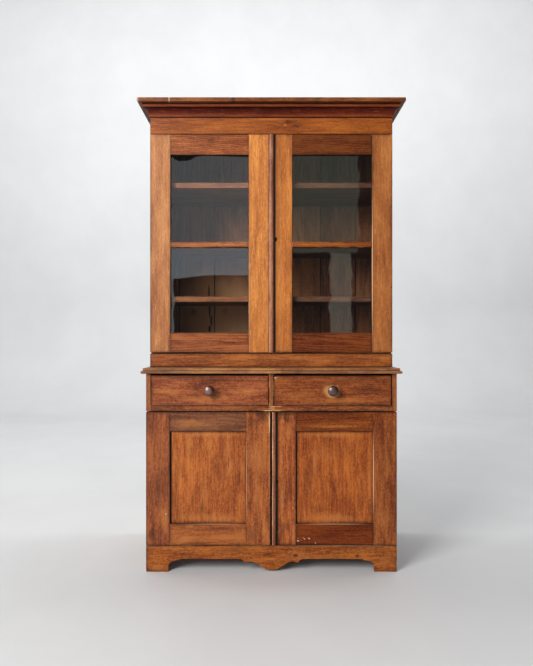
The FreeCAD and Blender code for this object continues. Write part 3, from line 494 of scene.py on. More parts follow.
def pineMaterial(name, ownFinish):
    material, tree, shader = newMaterial(name)
    board = {**finish, **ownFinish}
    point = boardPoint(tree, board)
    seed = boardSeed(tree, board, point)
    reaches = [spotDistance(tree, point, (*knot, knot[2] * knotLook["length"]))
               for knot in board.get("knots", ())]
    figure = boardFigure(tree, board, point, seed, reaches)
    tone = boardTone(tree, board, figure, seed)
    low, high = board["roughness"]
    heights = [calc(tree, "MULTIPLY", figure[key], share) for key, share in board["bumpShares"].items()]
    plug(tree, shader, {
        "Base Color": paintBoard(tree, board, point, figure, tone, reaches),
        "Roughness": remap(tree, figure["Streaks"], 0.0, 1.0, high, low, False),
        "Specular IOR Level": board["specular"],
        "Coat Weight": board["coat"],
        "Coat Roughness": board["coatRoughness"],
        "Normal": bump(tree, fold(tree, "ADD", heights), board["bump"]),
    })
    return material


# CAD boards keep their shape and get a small round on every arris

arris = {"width": 0.0009, "segments": 2, "sharperThan": 35.0, "flatWithin": 0.4, "weld": 1e-6}


def easeArrises(piece, width):
    weld = piece.modifiers.new("weld", "WELD")
    weld.merge_threshold = arris["weld"]
    flatten = piece.modifiers.new("flatten", "DECIMATE")
    flatten.decimate_type = "DISSOLVE"
    flatten.angle_limit = math.radians(arris["flatWithin"])
    bevel = piece.modifiers.new("arris", "BEVEL")
    bevel.width = width
    bevel.segments = arris["segments"]
    bevel.limit_method = "ANGLE"
    bevel.angle_limit = math.radians(arris["sharperThan"])
    bevel.harden_normals = False


def setMaterial(piece, material):
    if not piece.material_slots:
        piece.data.materials.append(material)
    for slot in piece.material_slots:
        slot.link = "OBJECT"
        slot.material = material


def finishBoard(node, board):
    low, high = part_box(node)
    # a board with an outline gets painted gap shade on its rims
    if "outline" in board:
        board["rim"] = (low[1], high[1], board["outline"])
    setMaterial(nodes[node], pineMaterial(node + "Wood", board))
    easeArrises(nodes[node], board.get("arris", arris["width"]))


def faceBox(node, grain, inset=0.0):
    # outline of a board that faces the front, as (across0, across1, along0, along1)
    low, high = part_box(node)
    spans = {"x": (low[0] + inset, high[0] - inset), "z": (low[2] + inset, high[2] - inset)}
    return spans["z"] + spans["x"] if grain == "x" else spans["x"] + spans["z"]


farOff = 3.0
skin = {"back": 0.0005, "side": 0.0002}    # how deep the paint of an unseen side goes into the board


def gapOutline(node, bottom=True, top=True):
    # outline of a rail's painted gap shade: a rail of the case stands in a gap at its bottom or top edge, or
    # at both, but not at its ends
    low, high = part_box(node)
    return (-farOff, farOff, low[2] if bottom else -farOff, high[2] if top else farOff)


def innerBack(node, colour):
    # the back of a board, as (axis, place, way it looks, colour)
    return ("y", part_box(node)[1][1] - skin["back"], 1.0, colour)


def innerSide(node, colour):
    # the side of an upright case board that looks to the middle of the case
    low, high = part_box(node)
    if high[0] < 0:
        return ("x", high[0] - skin["side"], 1.0, colour)
    return ("x", low[0] + skin["side"], -1.0, colour)


rawPine = (0.44, 0.27, 0.135)
insidePine = (0.165, 0.058, 0.022)
barePine = (0.27, 0.16, 0.084)
backPitch = {"upper": (-0.487, 0.188, 6), "lower": (-0.432, 0.206, 5)}    # first joint, width, count
backJoint = (0.0022, 0.0014, 0.95)    # half-width, softness and strength of its dark line
backNail = {"fromEdge": 0.03, "head": (0.0026, 0.00364, 0.95)}    # a head starts and ends to fade; strength


def backBoards(level, seed, nailHeights, **marks):
    # upright boards: their joints, the nails that hold them and their bare backs
    start, pitch, count = backPitch[level]
    joints = tuple(start + pitch * index for index in range(count))
    return {"grain": "z", "colour": insidePine, "seed": seed, "heart": (0.0, 0.6), "cells": ("x", joints),
            "lines": [("x", joint, *backJoint) for joint in joints],
            "nails": {"start": start, "pitch": pitch, "heights": nailHeights, **backNail},
            "inner": innerBack(level + "_back_boards", barePine), **marks}


crossFigure = {"Clouds": 0.13, "Bands": 0.16, "Streaks": 0.22, "Mottle": 0.29}
caseBoards = {
    "bracket_base": {
        "grain": "x", "colour": (0.285, 0.072, 0.011), "seed": 1.7, "heart": (0.12, 0.1), "contrast": 2.5,
        "weights": crossFigure,
        "blots": [(0.0727, 0.106, 0.0105, 0.0145, 0.8), (0.0704, 0.3826, 0.007, 0.0095, 0.65)],
        "outline": gapOutline("bracket_base", bottom=False),
        "knots": [(0.0727, 0.116, 0.006), (0.0715, 0.384, 0.0055)],
        "glows": [(0.015, -0.51, 0.018, 0.045, 0.45), (0.105, -0.42, 0.01, 0.12, 0.4),
            (0.06, 0.24, 0.014, 0.12, 0.25), (0.05, 0.51, 0.022, 0.04, 0.3),
            (0.076, 0.12, 0.022, 0.06, 0.5)],
        "shades": [(0.096, 0.46, 0.014, 0.09, 0.42), (0.096, -0.16, 0.018, 0.13, 0.48)],
        "pale": [(0.1158, 0.3, 0.0014, 0.28, 0.55)], "worn": 0.5,
        "smudges": [(0.0762, -0.02, 0.0045, 0.022, 0.6), (0.088, 0.552, 0.0025, 0.01, 0.7),
            (0.0727, 0.11, 0.006, 0.01, 0.75), (0.0733, 0.1, 0.0012, 0.028, 0.6)],
        "lines": [("z", 0.1175, 0.001, 0.0012, 0.6)]
    },
    "waist_rail": {
        "grain": "x", "colour": (0.305, 0.085, 0.019), "seed": 2.9, "heart": (0.9, 0.0),
        "outline": gapOutline("waist_rail"),
        "lines": [("x", 0.468, 0.0004, 0.001, 0.5), ("x", 0.549, 0.0004, 0.001, 0.4),
            ("z", 0.91, 0.0016, 0.0016, 0.8)]
    },
    "frieze_board": {
        "grain": "x", "colour": (0.275, 0.067, 0.009), "seed": 4.1, "heart": (2.1, 0.02), "contrast": 1.6,
        "dirtyEdge": (0.006, 0.2), "outline": gapOutline("frieze_board", top=False),
        "knots": [(2.0406, 0.0806, 0.0112)], "blots": [(2.0425, 0.0746, 0.012, 0.0135, 0.7)],
        "glows": [(2.028, 0.064, 0.005, 0.009, 0.7)],
        "shades": [(2.025, 0.117, 0.01, 0.026, 0.75), (2.045, 0.085, 0.007, 0.03, 0.6)],
        # painted shadow under the crown's toe
        "lines": [("z", 2.0628, 0.002, 0.0012, 0.88)]
    },
    "drawer_rail": {
        "grain": "x", "colour": (0.225, 0.06, 0.016), "seed": 5.3, "heart": (0.7, -0.1), "contrast": 2.9,
        "weights": crossFigure, "outline": gapOutline("drawer_rail"),
        "wear": [(0.7205, 0.008, 0.0035, 0.05, 0.85), (0.7375, 0.02, 0.0032, 0.034, 0.8),
            (0.73, 0.004, 0.006, 0.016, 0.6)],
        "chips": [(0.7195, -0.014, 0.0016, 0.02, 0.6), (0.739, 0.002, 0.0014, 0.012, 0.6)]
    },
    "drawer_divider": {"grain": "z", "colour": (0.25, 0.07, 0.022), "seed": 6.5, "worn": 0.9},
    "lower_left_side": {
        "grain": "z", "face": "x", "colour": (0.29, 0.1, 0.034), "seed": 7.7, "heart": (0.05, -0.5)
    },
    "lower_right_side": {
        "grain": "z", "face": "x", "colour": (0.23, 0.066, 0.018), "seed": 8.9, "heart": (-0.02, 0.5)
    },
    "upper_left_side": {
        "grain": "z", "face": "x", "colour": (0.3, 0.085, 0.02), "seed": 10.1, "heart": (0.1, -0.5)
    },
    "upper_right_side": {
        "grain": "z", "face": "x", "colour": (0.27, 0.074, 0.017), "seed": 11.3, "heart": (0.0, 0.5)
    },
}
insideBoards = {
    "lower_bottom_board": {"grain": "x", "face": "z", "colour": insidePine, "seed": 20.3},
    "lower_shelf": {"grain": "x", "face": "z", "colour": insidePine, "seed": 21.1},
    "upper_bottom_board": {"grain": "x", "face": "z", "colour": insidePine, "seed": 22.7},
    "upper_shelves": {
        "grain": "x", "face": "z", "colour": (0.13, 0.04, 0.014), "seed": 23.9, "cells": ("z", (1.3, 1.6)),
        "others": [("x", 0.0, 0.08, (0.058, 0.018, 0.007))]
    },
    "drawer_runners": {"grain": "y", "face": "z", "colour": rawPine, "seed": 25.0},
    "lower_back_boards": backBoards("lower", 30.1, (0.108, 0.406, 0.87)),
    "upper_back_boards": backBoards(
        "upper", 33.3, (0.961, 1.225, 1.48, 1.756, 2.095),
        # a painted pool of light: the large glow and pale patch brighten the left boards seen through the
        # left pane
        glows=[(-0.3, 1.2, 0.28, 0.26, 0.6)], pale=[(-0.29, 1.16, 0.3, 0.26, 0.35)],
        knots=[(-0.412, 1.181, 0.01), (-0.244, 1.181, 0.007)],
        blots=[(-0.412, 1.181, 0.02, 0.024, 0.95), (-0.242, 1.187, 0.018, 0.022, 0.9)],
        holes=[(-0.33, 1.275, 0.0055, 0.06, 0.8), (-0.326, 1.19, 0.0055, 0.045, 0.8),
            (-0.317, 1.135, 0.007, 0.035, 0.85), (-0.326, 1.09, 0.008, 0.022, 0.85)]
    ),
}
bareInside = {"coat": 0.0, "roughness": (0.55, 0.75)}
for node, board in {**caseBoards, **insideBoards}.items():
    if node in insideBoards:
        board.update(bareInside)
    elif "face" in board:
        board["inner"] = innerSide(node, insidePine)
    else:
        board.update(inner=innerBack(node, insidePine), edges=[faceBox(node, board["grain"])])
    finishBoard(node, board)
print("case boards finished")

drawerBoards = {
    "left_drawer_front": {
        "grain": "x", "colour": (0.255, 0.063, 0.02), "seed": 41.0, "heart": (0.83, -0.2),
        "glows": [(0.775, -0.31, 0.016, 0.16, 0.45), (0.805, -0.47, 0.018, 0.07, 0.45),
            (0.808, -0.13, 0.016, 0.07, 0.35)],
        "shades": [(0.86, -0.33, 0.014, 0.16, 0.5), (0.822, -0.335, 0.018, 0.03, 0.45),
            (0.85, -0.09, 0.016, 0.06, 0.35), (0.752, -0.1, 0.01, 0.08, 0.35)],
        "smudges": [(0.845, -0.3, 0.012, 0.03, 0.4), (0.853, -0.255, 0.012, 0.026, 0.35),
            (0.806, -0.243, 0.012, 0.018, 0.35), (0.869, -0.4, 0.005, 0.12, 0.4)],
        "wear": [(0.8074, -0.112, 0.0016, 0.02, 0.75), (0.803, -0.095, 0.0012, 0.012, 0.6),
            (0.811, -0.085, 0.001, 0.01, 0.6)]
    },
    "right_drawer_front": {
        "grain": "x", "colour": (0.226, 0.053, 0.012), "seed": 43.0, "heart": (0.79, -0.2),
        "glows": [(0.765, 0.32, 0.014, 0.18, 0.5), (0.79, 0.13, 0.014, 0.09, 0.35)],
        "shades": [(0.852, 0.34, 0.018, 0.17, 0.5), (0.815, 0.45, 0.03, 0.06, 0.45)],
        "halo": [(0.807, 0.269, 0.034, 0.0375, 0.85)], "smudges": [(0.764, 0.234, 0.004, 0.005, 0.8)],
        "chips": [(0.866, 0.0165, 0.0045, 0.0028, 0.9), (0.858, 0.0215, 0.003, 0.0022, 0.7),
            (0.869, 0.024, 0.0018, 0.0045, 0.7), (0.832, 0.295, 0.003, 0.003, 0.6)]
    },
    "left_drawer_sides": {"grain": "y", "face": "x", "colour": rawPine, "seed": 45.0},
    "right_drawer_sides": {"grain": "y", "face": "x", "colour": rawPine, "seed": 46.0},
    "left_drawer_back": {"grain": "x", "colour": rawPine, "seed": 47.0},
    "right_drawer_back": {"grain": "x", "colour": rawPine, "seed": 48.0},
    "left_drawer_bottom": {"grain": "x", "face": "z", "colour": rawPine, "seed": 49.0},
    "right_drawer_bottom": {"grain": "x", "face": "z", "colour": rawPine, "seed": 50.0},
}
drawerFront = {"contrast": 2.4, "weights": crossFigure}
bareDrawer = {"coat": 0.0, "roughness": (0.6, 0.8), "contrast": 0.8}
for node, board in drawerBoards.items():
    if "front" in node:
        low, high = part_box(node)
        board.update(edges=[faceBox(node, "x")], outline=(low[0], high[0], low[2], high[2]),
                     inner=innerBack(node, rawPine), **drawerFront)
    else:
        board.update(bareDrawer)
    finishBoard(node, board)
print("drawers finished")

wavyRings = {"Rings": 0.22, "Streaks": 0.2, "Mottle": 0.2}
stileGrain = {"Clouds": 0.26, "Bands": 0.24, "Streaks": 0.2, "Mottle": 0.2, "Fibres": 0.12}
doorGrain = {"Bands": 0.2, "Streaks": 0.24, "Mottle": 0.24, "Fibres": 0.12}
doorBoards = {
    "upper_left_door_hinge_stile": {
        "grain": "z", "colour": (0.405, 0.155, 0.054), "seed": 51.0, "heart": (-0.56, 0.15)
    },
    "upper_left_door_meeting_stile": {
        "grain": "z", "colour": (0.54, 0.185, 0.041), "seed": 52.2, "heart": (0.0, 0.15), "edgeDark": 0.1,
        # the pale line is a painted highlight on the lit reveal, with a worn arris
        "dirtyEdge": (0.01, 0.15), "pale": [(-0.103, 1.28, 0.0016, 0.3, 0.6)],
        "holes": [(-0.0104, 0.992, 0.0024, 0.016, 0.9)]
    },
    "upper_left_door_rails": {
        "grain": "x", "colour": (0.24, 0.062, 0.018), "seed": 53.4, "heart": (1.02, -0.16),
        "cells": ("z", (1.5,)), "others": [("z", 1.5, 1.51, (0.335, 0.093, 0.021))], "weights": wavyRings,
        "smudges": [(1.957, -0.278, 0.02, 0.026, 0.45)]
    },
    "upper_left_door_muntin": {
        "grain": "x", "colour": (0.5, 0.16, 0.052), "seed": 54.6, "worn": 0.7, "arris": 0.0024
    },
    "upper_right_door_hinge_stile": {
        "grain": "z", "colour": (0.38, 0.125, 0.032), "seed": 55.8, "heart": (0.5, 0.15),
        # the pale line is a painted highlight on the lit reveal, with a worn arris
        "pale": [(0.468, 1.36, 0.002, 0.36, 0.9)], "smudges": [(0.556, 1.2796, 0.004, 0.006, 0.95)]
    },
    "upper_right_door_meeting_stile": {
        "grain": "z", "colour": (0.455, 0.142, 0.029), "seed": 57.0, "heart": (0.1, 0.15),
        "holes": [(0.021, 1.5, 0.0062, 0.0118, 0.99)],
        # painted shadow that the bead casts on the stile, darkest in its quirk
        "lines": [("x", 0.0158, 0.0019, 0.006, 0.97), ("x", 0.02, 0.004, 0.016, 0.28)]
    },
    "upper_right_door_rails": {
        "grain": "x", "colour": (0.14, 0.03, 0.0074), "seed": 58.2, "heart": (1.03, -0.16), "specular": 0.12,
        "cells": ("z", (1.5,)), "others": [("z", 1.5, 1.51, (0.118, 0.027, 0.006))], "weights": wavyRings
    },
    "upper_right_door_muntin": {
        "grain": "x", "colour": (0.315, 0.07, 0.007), "seed": 59.4, "worn": 0.5, "arris": 0.0024
    },
    "lower_left_door_hinge_stile": {
        "grain": "z", "colour": (0.226, 0.056, 0.017), "seed": 61.0, "heart": (-0.6, 0.2),
        "glows": [(-0.478, 0.235, 0.022, 0.075, 0.45), (-0.49, 0.54, 0.016, 0.1, 0.25)],
        "shades": [(-0.51, 0.37, 0.036, 0.08, 0.5), (-0.535, 0.66, 0.03, 0.06, 0.4)],
        "chips": [(-0.4709, 0.258, 0.0022, 0.004, 0.8), (-0.48, 0.236, 0.0014, 0.002, 0.7)],
        "smudges": [(-0.53, 0.16, 0.022, 0.04, 0.6)]
    },
    "lower_left_door_meeting_stile": {
        "grain": "z", "colour": (0.29, 0.074, 0.018), "seed": 62.2, "heart": (0.0, 0.2), "edgeDark": 0.15,
        "dirtyEdge": (0.01, 0.15),
        "glows": [(-0.055, 0.5, 0.036, 0.1, 0.4), (-0.03, 0.19, 0.016, 0.07, 0.55),
            (-0.06, 0.33, 0.018, 0.08, 0.3)],
        "shades": [(-0.09, 0.665, 0.026, 0.036, 0.55), (-0.085, 0.165, 0.028, 0.045, 0.55),
            (-0.095, 0.42, 0.012, 0.07, 0.35)],
        "smudges": [(-0.04, 0.69, 0.026, 0.03, 0.75), (-0.045, 0.7065, 0.05, 0.0125, 0.85)],
        "wear": [(-0.01, 0.655, 0.003, 0.06, 1.0), (-0.0095, 0.45, 0.0018, 0.16, 0.5)],
        # the pale line is a painted highlight on the lit reveal, with a worn arris
        "chips": [(-0.0085, 0.665, 0.0018, 0.042, 0.8)], "pale": [(-0.1112, 0.42, 0.0015, 0.205, 0.55)]
    },
    "lower_left_door_rails": {
        "grain": "x", "colour": (0.27, 0.07, 0.016), "seed": 63.4, "heart": (0.16, -0.3),
        "cells": ("z", (0.4,)), "others": [("z", 0.4, 0.41, (0.156, 0.05, 0.021))],
        "glows": [(0.667, -0.36, 0.018, 0.11, 0.4), (0.145, -0.39, 0.022, 0.085, 0.5),
            (0.202, -0.365, 0.006, 0.02, 0.6), (0.15, -0.18, 0.014, 0.09, 0.3)],
        "shades": [(0.645, -0.17, 0.014, 0.07, 0.6), (0.69, -0.42, 0.012, 0.05, 0.45),
            (0.19, -0.22, 0.01, 0.1, 0.55)], "pale": [(0.2126, -0.25, 0.0013, 0.16, 0.45)]
    },
    "lower_left_door_panel": {
        "grain": "z", "colour": (0.34, 0.086, 0.017), "seed": 64.6, "heart": (-0.28, -0.2),
        "glows": [(-0.285, 0.612, 0.15, 0.016, 0.55), (-0.285, 0.238, 0.15, 0.024, 0.6),
            (-0.365, 0.57, 0.018, 0.05, 0.6), (-0.275, 0.565, 0.014, 0.04, 0.65),
            (-0.2, 0.55, 0.016, 0.07, 0.4), (-0.3, 0.34, 0.022, 0.08, 0.45),
            (-0.19, 0.472, 0.016, 0.055, 0.65), (-0.13, 0.455, 0.012, 0.05, 0.45)],
        "shades": [(-0.318, 0.28, 0.01, 0.035, 0.45), (-0.25, 0.45, 0.026, 0.08, 0.25),
            (-0.425, 0.42, 0.016, 0.12, 0.4), (-0.155, 0.3, 0.02, 0.06, 0.25)],
        "holes": [(-0.1922, 0.485, 0.0022, 0.033, 0.65), (-0.1439, 0.4154, 0.0032, 0.028, 0.62),
            (-0.1455, 0.439, 0.0052, 0.015, 0.35), (-0.31, 0.297, 0.0018, 0.04, 0.45)],
        # painted shadow of the stile and the top rail on the recessed panel, with some grime
        "lines": [("x", -0.455, 0.0066, 0.0022, 0.97), ("z", 0.6274, 0.0014, 0.0016, 0.8)]
    },
    "lower_right_door_hinge_stile": {
        "grain": "z", "colour": (0.255, 0.064, 0.0135), "seed": 65.8, "heart": (0.5, 0.2),
        "glows": [(0.5, 0.235, 0.03, 0.07, 0.35), (0.512, 0.5, 0.016, 0.1, 0.25)],
        # the pale line is a painted highlight on the lit reveal, with a worn arris
        "pale": [(0.4563, 0.43, 0.0018, 0.205, 0.9)],
        "shades": [(0.48, 0.38, 0.012, 0.09, 0.35), (0.535, 0.64, 0.018, 0.06, 0.3)]
    },
    "lower_right_door_meeting_stile": {
        "grain": "z", "colour": (0.365, 0.092, 0.021), "seed": 67.0, "heart": (0.0, 0.2),
        "glows": [(0.076, 0.62, 0.018, 0.036, 0.5), (0.046, 0.33, 0.012, 0.06, 0.45),
            (0.1, 0.17, 0.007, 0.055, 0.75)],
        "shades": [(0.044, 0.18, 0.018, 0.07, 0.55), (0.08, 0.36, 0.024, 0.06, 0.4),
            (0.068, 0.205, 0.022, 0.042, 0.6)], "chips": [(0.0955, 0.285, 0.0018, 0.0022, 0.9)],
        "smudges": [(0.064, 0.692, 0.036, 0.028, 0.7), (0.066, 0.7075, 0.055, 0.011, 0.8)],
        "holes": [(0.0262, 0.4015, 0.0066, 0.0112, 0.99)],
        # painted shadow that the bead casts on the stile, darkest in its quirk
        "lines": [("x", 0.0238, 0.0028, 0.009, 0.93), ("x", 0.03, 0.004, 0.016, 0.26)]
    },
    "lower_right_door_rails": {
        "grain": "x", "colour": (0.142, 0.025, 0.004), "seed": 68.2, "heart": (0.2, -0.3), "specular": 0.12,
        "pale": [(0.2126, 0.28, 0.0014, 0.17, 0.6)], "cells": ("z", (0.4,)),
        "others": [("z", 0.4, 0.41, (0.215, 0.05, 0.009))], "glows": [(0.65, 0.27, 0.007, 0.13, 0.5)],
        "shades": [(0.69, 0.3, 0.014, 0.12, 0.45)],
        "chips": [(0.1374, 0.1187, 0.0034, 0.0055, 0.9), (0.1463, 0.1477, 0.0026, 0.004, 0.8),
            (0.1486, 0.1678, 0.003, 0.005, 0.85), (0.1285, 0.1968, 0.0024, 0.0045, 0.7),
            (0.149, 0.1182, 0.0014, 0.002, 0.8), (0.1522, 0.1432, 0.0014, 0.0022, 0.8),
            (0.14, 0.134, 0.0014, 0.0018, 0.7)]
    },
    "lower_right_door_panel": {
        "grain": "z", "colour": (0.325, 0.076, 0.012), "seed": 69.4, "heart": (0.27, -0.14),
        "weights": {**doorGrain, "Rings": 0.05},
        "glows": [(0.28, 0.612, 0.15, 0.016, 0.5), (0.28, 0.236, 0.15, 0.024, 0.6),
            (0.194, 0.48, 0.012, 0.12, 0.55), (0.44, 0.42, 0.01, 0.18, 0.5),
            (0.245, 0.52, 0.03, 0.06, 0.25)],
        "shades": [(0.16, 0.4, 0.01, 0.11, 0.5), (0.35, 0.55, 0.05, 0.045, 0.3),
            (0.205, 0.275, 0.035, 0.03, 0.35), (0.4, 0.33, 0.014, 0.08, 0.25)],
        # painted shadow of the stile and the top rail on the recessed panel, with some grime
        "lines": [("x", 0.1085, 0.0062, 0.0022, 0.97), ("z", 0.6274, 0.0014, 0.0016, 0.8)]
    },
}
# how far a door's rails run up from its bottom and down from its top, and their tenons' length
railSpans = {"upper": (0.091, 0.094, 0.063), "lower": (0.094, 0.085, 0.055)}
muntinTenon = 0.022
panelInset = 0.008
innerShade = 0.75    # the backs of the doors' boards against their faces
doorContrast = {"upper rails": 2.5, "upper stile": 1.25, "upper muntin": 1.25, "lower stile": 2.7}


def levelAndKind(node):
    words = node.split("_")
    return words[0], words[-1]


def doorEdges(node):
    # a face of its own for each rail, muntin, panel or stile, between its shoulders
    low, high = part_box(node)
    level, kind = levelAndKind(node)
    if kind == "rails":
        bottom, top, tenon = railSpans[level]
        x0, x1 = low[0] + tenon, high[0] - tenon
        return [(low[2], low[2] + bottom, x0, x1), (high[2] - top, high[2], x0, x1)]
    if kind == "muntin":
        return [(low[2], high[2], low[0] + muntinTenon, high[0] - muntinTenon)]
    return [faceBox(node, "z", panelInset if kind == "panel" else 0.0)]


def doorOutline(door):
    stiles = [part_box(door + kind) for kind in ("_hinge_stile", "_meeting_stile")]
    low, high = np.array(stiles).transpose(1, 0, 2)
    return (low[:, 0].min(), high[:, 0].max(), low[:, 2].min(), high[:, 2].max())


for node, board in doorBoards.items():
    level, kind = levelAndKind(node)
    board["edges"] = doorEdges(node)
    board["inner"] = innerBack(node, tuple(innerShade * channel for channel in board["colour"]))
    board["contrast"] = doorContrast.get(level + " " + kind, finish["contrast"])
    board.setdefault("weights", stileGrain if level == "upper" else doorGrain)
    if kind in ("stile", "rails"):
        board["outline"] = doorOutline("_".join(node.split("_")[:3]))
    finishBoard(node, board)
print("door boards finished")


# New pieces are grids of points, filled a whole array at a time

def gridFaces(rows, columns, closeRows=False, closeColumns=True):
    # each point makes a quad with its neighbours to the right, below, and below right
    down = np.arange(rows if closeRows else rows - 1)
    over = np.arange(columns if closeColumns else columns - 1)
    r, c = np.meshgrid(down, over, indexing="ij")
    r2, c2 = (r + 1) % rows, (c + 1) % columns
    quads = np.stack([r * columns + c, r * columns + c2, r2 * columns + c2, r2 * columns + c], axis=-1)
    return quads.reshape(-1, 4).tolist()


smoothBelow = 40.0


def makePiece(name, points, faces, material, body, slot, replaced=()):
    mesh = bpy.data.meshes.new(name)
    mesh.from_pydata(np.asarray(points, float).reshape(-1, 3).tolist(), [], faces)
    mesh.shade_smooth()
    mesh.set_sharp_from_angle(angle=math.radians(smoothBelow))
    mesh.materials.append(material)
    piece = bpy.data.objects.new(name, mesh)
    bpy.context.scene.collection.objects.link(piece)
    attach(piece, body)
    if replaced:
        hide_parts(*replaced)
    return piece


def arcPoints(start, middle, end, count):
    # points on the circle through three points: centre from the two right bisectors, then equal turns
    (ax, ay), (bx, by), (cx, cy) = start, middle, end
    twice = 2 * (ax * (by - cy) + bx * (cy - ay) + cx * (ay - by))
    squares = [x * x + y * y for x, y in (start, middle, end)]
    ux = (squares[0] * (by - cy) + squares[1] * (cy - ay) + squares[2] * (ay - by)) / twice
    uy = (squares[0] * (cx - bx) + squares[1] * (ax - cx) + squares[2] * (bx - ax)) / twice
    radius = math.hypot(ax - ux, ay - uy)
    first, through, last = (math.atan2(y - uy, x - ux) for x, y in (start, middle, end))
    sweep = (last - first) % math.tau
    if sweep < (through - first) % math.tau:
        sweep -= math.tau
    turns = first + sweep * np.linspace(0, 1, count)
    return np.stack([ux + radius * np.cos(turns), uy + radius * np.sin(turns)], axis=1).tolist()


def quarterRound(centre, radius, start, end, count=5):
    # equal turns about the centre, from one angle to the other
    turns = np.radians(np.linspace(start, end, count))
    return (centre + radius * np.stack([np.cos(turns), np.sin(turns)], axis=1)).tolist()


# Mouldings planed by hand: a profile of (projection, height) carried along an edge, with a slight wander

planing = {
    "step": 0.006,
    "wander": 0.00035,
    "lengths": (0.42, 0.13, 0.05),
    "outer": 0.8,             # share of the projection from which the wander is full
    "underShare": 0.4,        # the wander nearer to the case
    "flat": 0.001,            # what lies this near to the case or the door stays flat
    "fadeFront": 20,          # powers that end the wander at the mitres
    "fadeSide": 0.3,
}


def handWander(along, seed):
    # sum of three sines of different lengths, brought to lie between 0 and the full wander
    rng = np.random.default_rng(seed)
    total = np.zeros_like(along)
    for length in planing["lengths"]:
        total += np.sin(math.tau * along / length + rng.uniform(0, math.tau)) * rng.uniform(0.5, 1.0)
    return planing["wander"] * (0.5 + total / (2 * len(planing["lengths"])))


def dentsAt(along, dents):
    # each dent is a bell curve of (place, half-width, depth)
    place, halfWidth, depth = np.array(dents).T[:, :, None]
    return (depth * np.exp(-((along - place) / halfWidth) ** 2)).sum(axis=0)


def sweptFaces(rows, columns, closed):
    # the grid's own faces, its two ends, and, where the profile is open, its top, bottom and back
    faces = gridFaces(rows, columns, closeRows=closed, closeColumns=False)
    first = [row * columns for row in range(rows)]
    last = [row * columns + columns - 1 for row in range(rows)]
    if closed:
        return faces + [first, last[::-1]]
    bottom = list(range(columns))[::-1]
    top = list(range((rows - 1) * columns, rows * columns))
    return faces + [bottom, top, first + last[::-1]]


def stepsAlong(length, start=0.0):
    # equal steps up to 1
    return np.linspace(start, 1, int(length / planing["step"]) + 1)


def edgedBoard(profile, halfX, edgeY, backY, z0, seed, dents):
    # the profile runs along the left end, the front and the right end; projection is measured from the case
    out, rise = profile[:, :1], profile[:, 1:2]
    depth = backY - edgeY
    side, front = stepsAlong(depth), stepsAlong(2 * halfX)[:-1]
    share = np.where(out > out.max() * planing["outer"], 1.0, planing["underShare"])
    runs = (side[:-1] * depth, front * 2 * halfX, side * depth)
    wanders = [handWander(run, seed + leg) for leg, run in enumerate(runs)]
    wanders[1] += dentsAt(runs[1] - halfX, dents)
    leftOut, frontOut, rightOut = (out - wander * share for wander in wanders)
    left = [-(halfX + leftOut), backY - (depth + leftOut) * side[:-1]]
    middle = [(halfX + frontOut) * (2 * front - 1), edgeY - frontOut]
    right = [halfX + rightOut, edgeY - rightOut + (depth + rightOut) * side]
    points = np.concatenate([np.stack([x, y, z0 + rise + 0 * x], axis=-1) for x, y in (left, middle, right)],
                            axis=1)
    return points, sweptFaces(*points.shape[:2], False)


def mitredLengths(profile, halfX, edgeY, backY, z0, seed):
    # three closed lengths, front, left and right, that meet in mitres at the front corners
    out, rise = profile[:, :1], profile[:, 1:2]
    depth = backY - edgeY
    side, front = stepsAlong(depth), stepsAlong(2 * halfX, -1)
    outer = np.where(out > planing["flat"], 1.0, 0.0)
    fadeFront = 1 - np.abs(front) ** planing["fadeFront"]
    fadeSide = np.sin(math.pi * side) ** planing["fadeSide"]
    frontOut = out - outer * handWander(front * halfX, seed) * fadeFront
    lengths = [[(halfX + out) * front, edgeY - frontOut]]
    for hand, run in ((-1, side[::-1]), (1, side)):
        sideOut = out - outer * handWander(run * depth, seed + hand) * fadeSide
        lengths.append([hand * (halfX + sideOut), edgeY - out + (depth + out) * run])
    grids = [np.stack([x, y, z0 + rise + 0 * x], axis=-1) for x, y in lengths]
    return [(points, sweptFaces(*points.shape[:2], True)) for points in grids]


slab = {
    "overhang": 0.05, "round": 0.004, "thickness": 0.02, "seed": 21,
    "dents": [(-0.607, 0.004, 0.0022), (-0.47, 0.006, 0.001), (-0.172, 0.005, 0.001), (0.31, 0.007, 0.0008)]
}
counter = {
    "overhang": 0.021, "nose": 0.013, "shoulder": 0.009, "thickness": 0.024, "ease": 0.0009, "seed": 31,
    "dents": [(-0.34, 0.014, 0.0009), (-0.19, 0.02, 0.0011), (-0.06, 0.01, 0.0009), (0.02, 0.012, 0.0008),
        (0.3, 0.012, 0.0007), (0.47, 0.01, 0.0008)]
}
crown = {
    "height": 0.0515, "projection": 0.031, "fillet": 0.016, "toe": 0.006, "toeHeight": 0.004,
    "lip": 0.003, "hollow": 0.0075, "ease": 0.0006, "seed": 41
}


def slabProfile(spec):
    # a lower and an upper quarter round, with a flat between them
    out, r, thick = spec["overhang"], spec["round"], spec["thickness"]
    return np.array(quarterRound((out - r, r), r, -90, 0) + quarterRound((out - r, thick - r), r, 0, 90))


def counterProfile(spec):
    # a rounded nose, then a small hollow and an eased shoulder above it
    out, nose, ease, thick = spec["overhang"], spec["nose"], spec["ease"], spec["thickness"]
    half, shoulder = nose / 2, out - spec["shoulder"]
    curve = arcPoints((out - half, 0), (out, half), (out - half, nose), 13)
    curve += quarterRound((shoulder + ease / 2, nose + ease / 2), ease / 2, 270, 180, 3)
    curve += quarterRound((shoulder - ease, thick - ease), ease, 0, 90, 4)
    return np.array(curve)


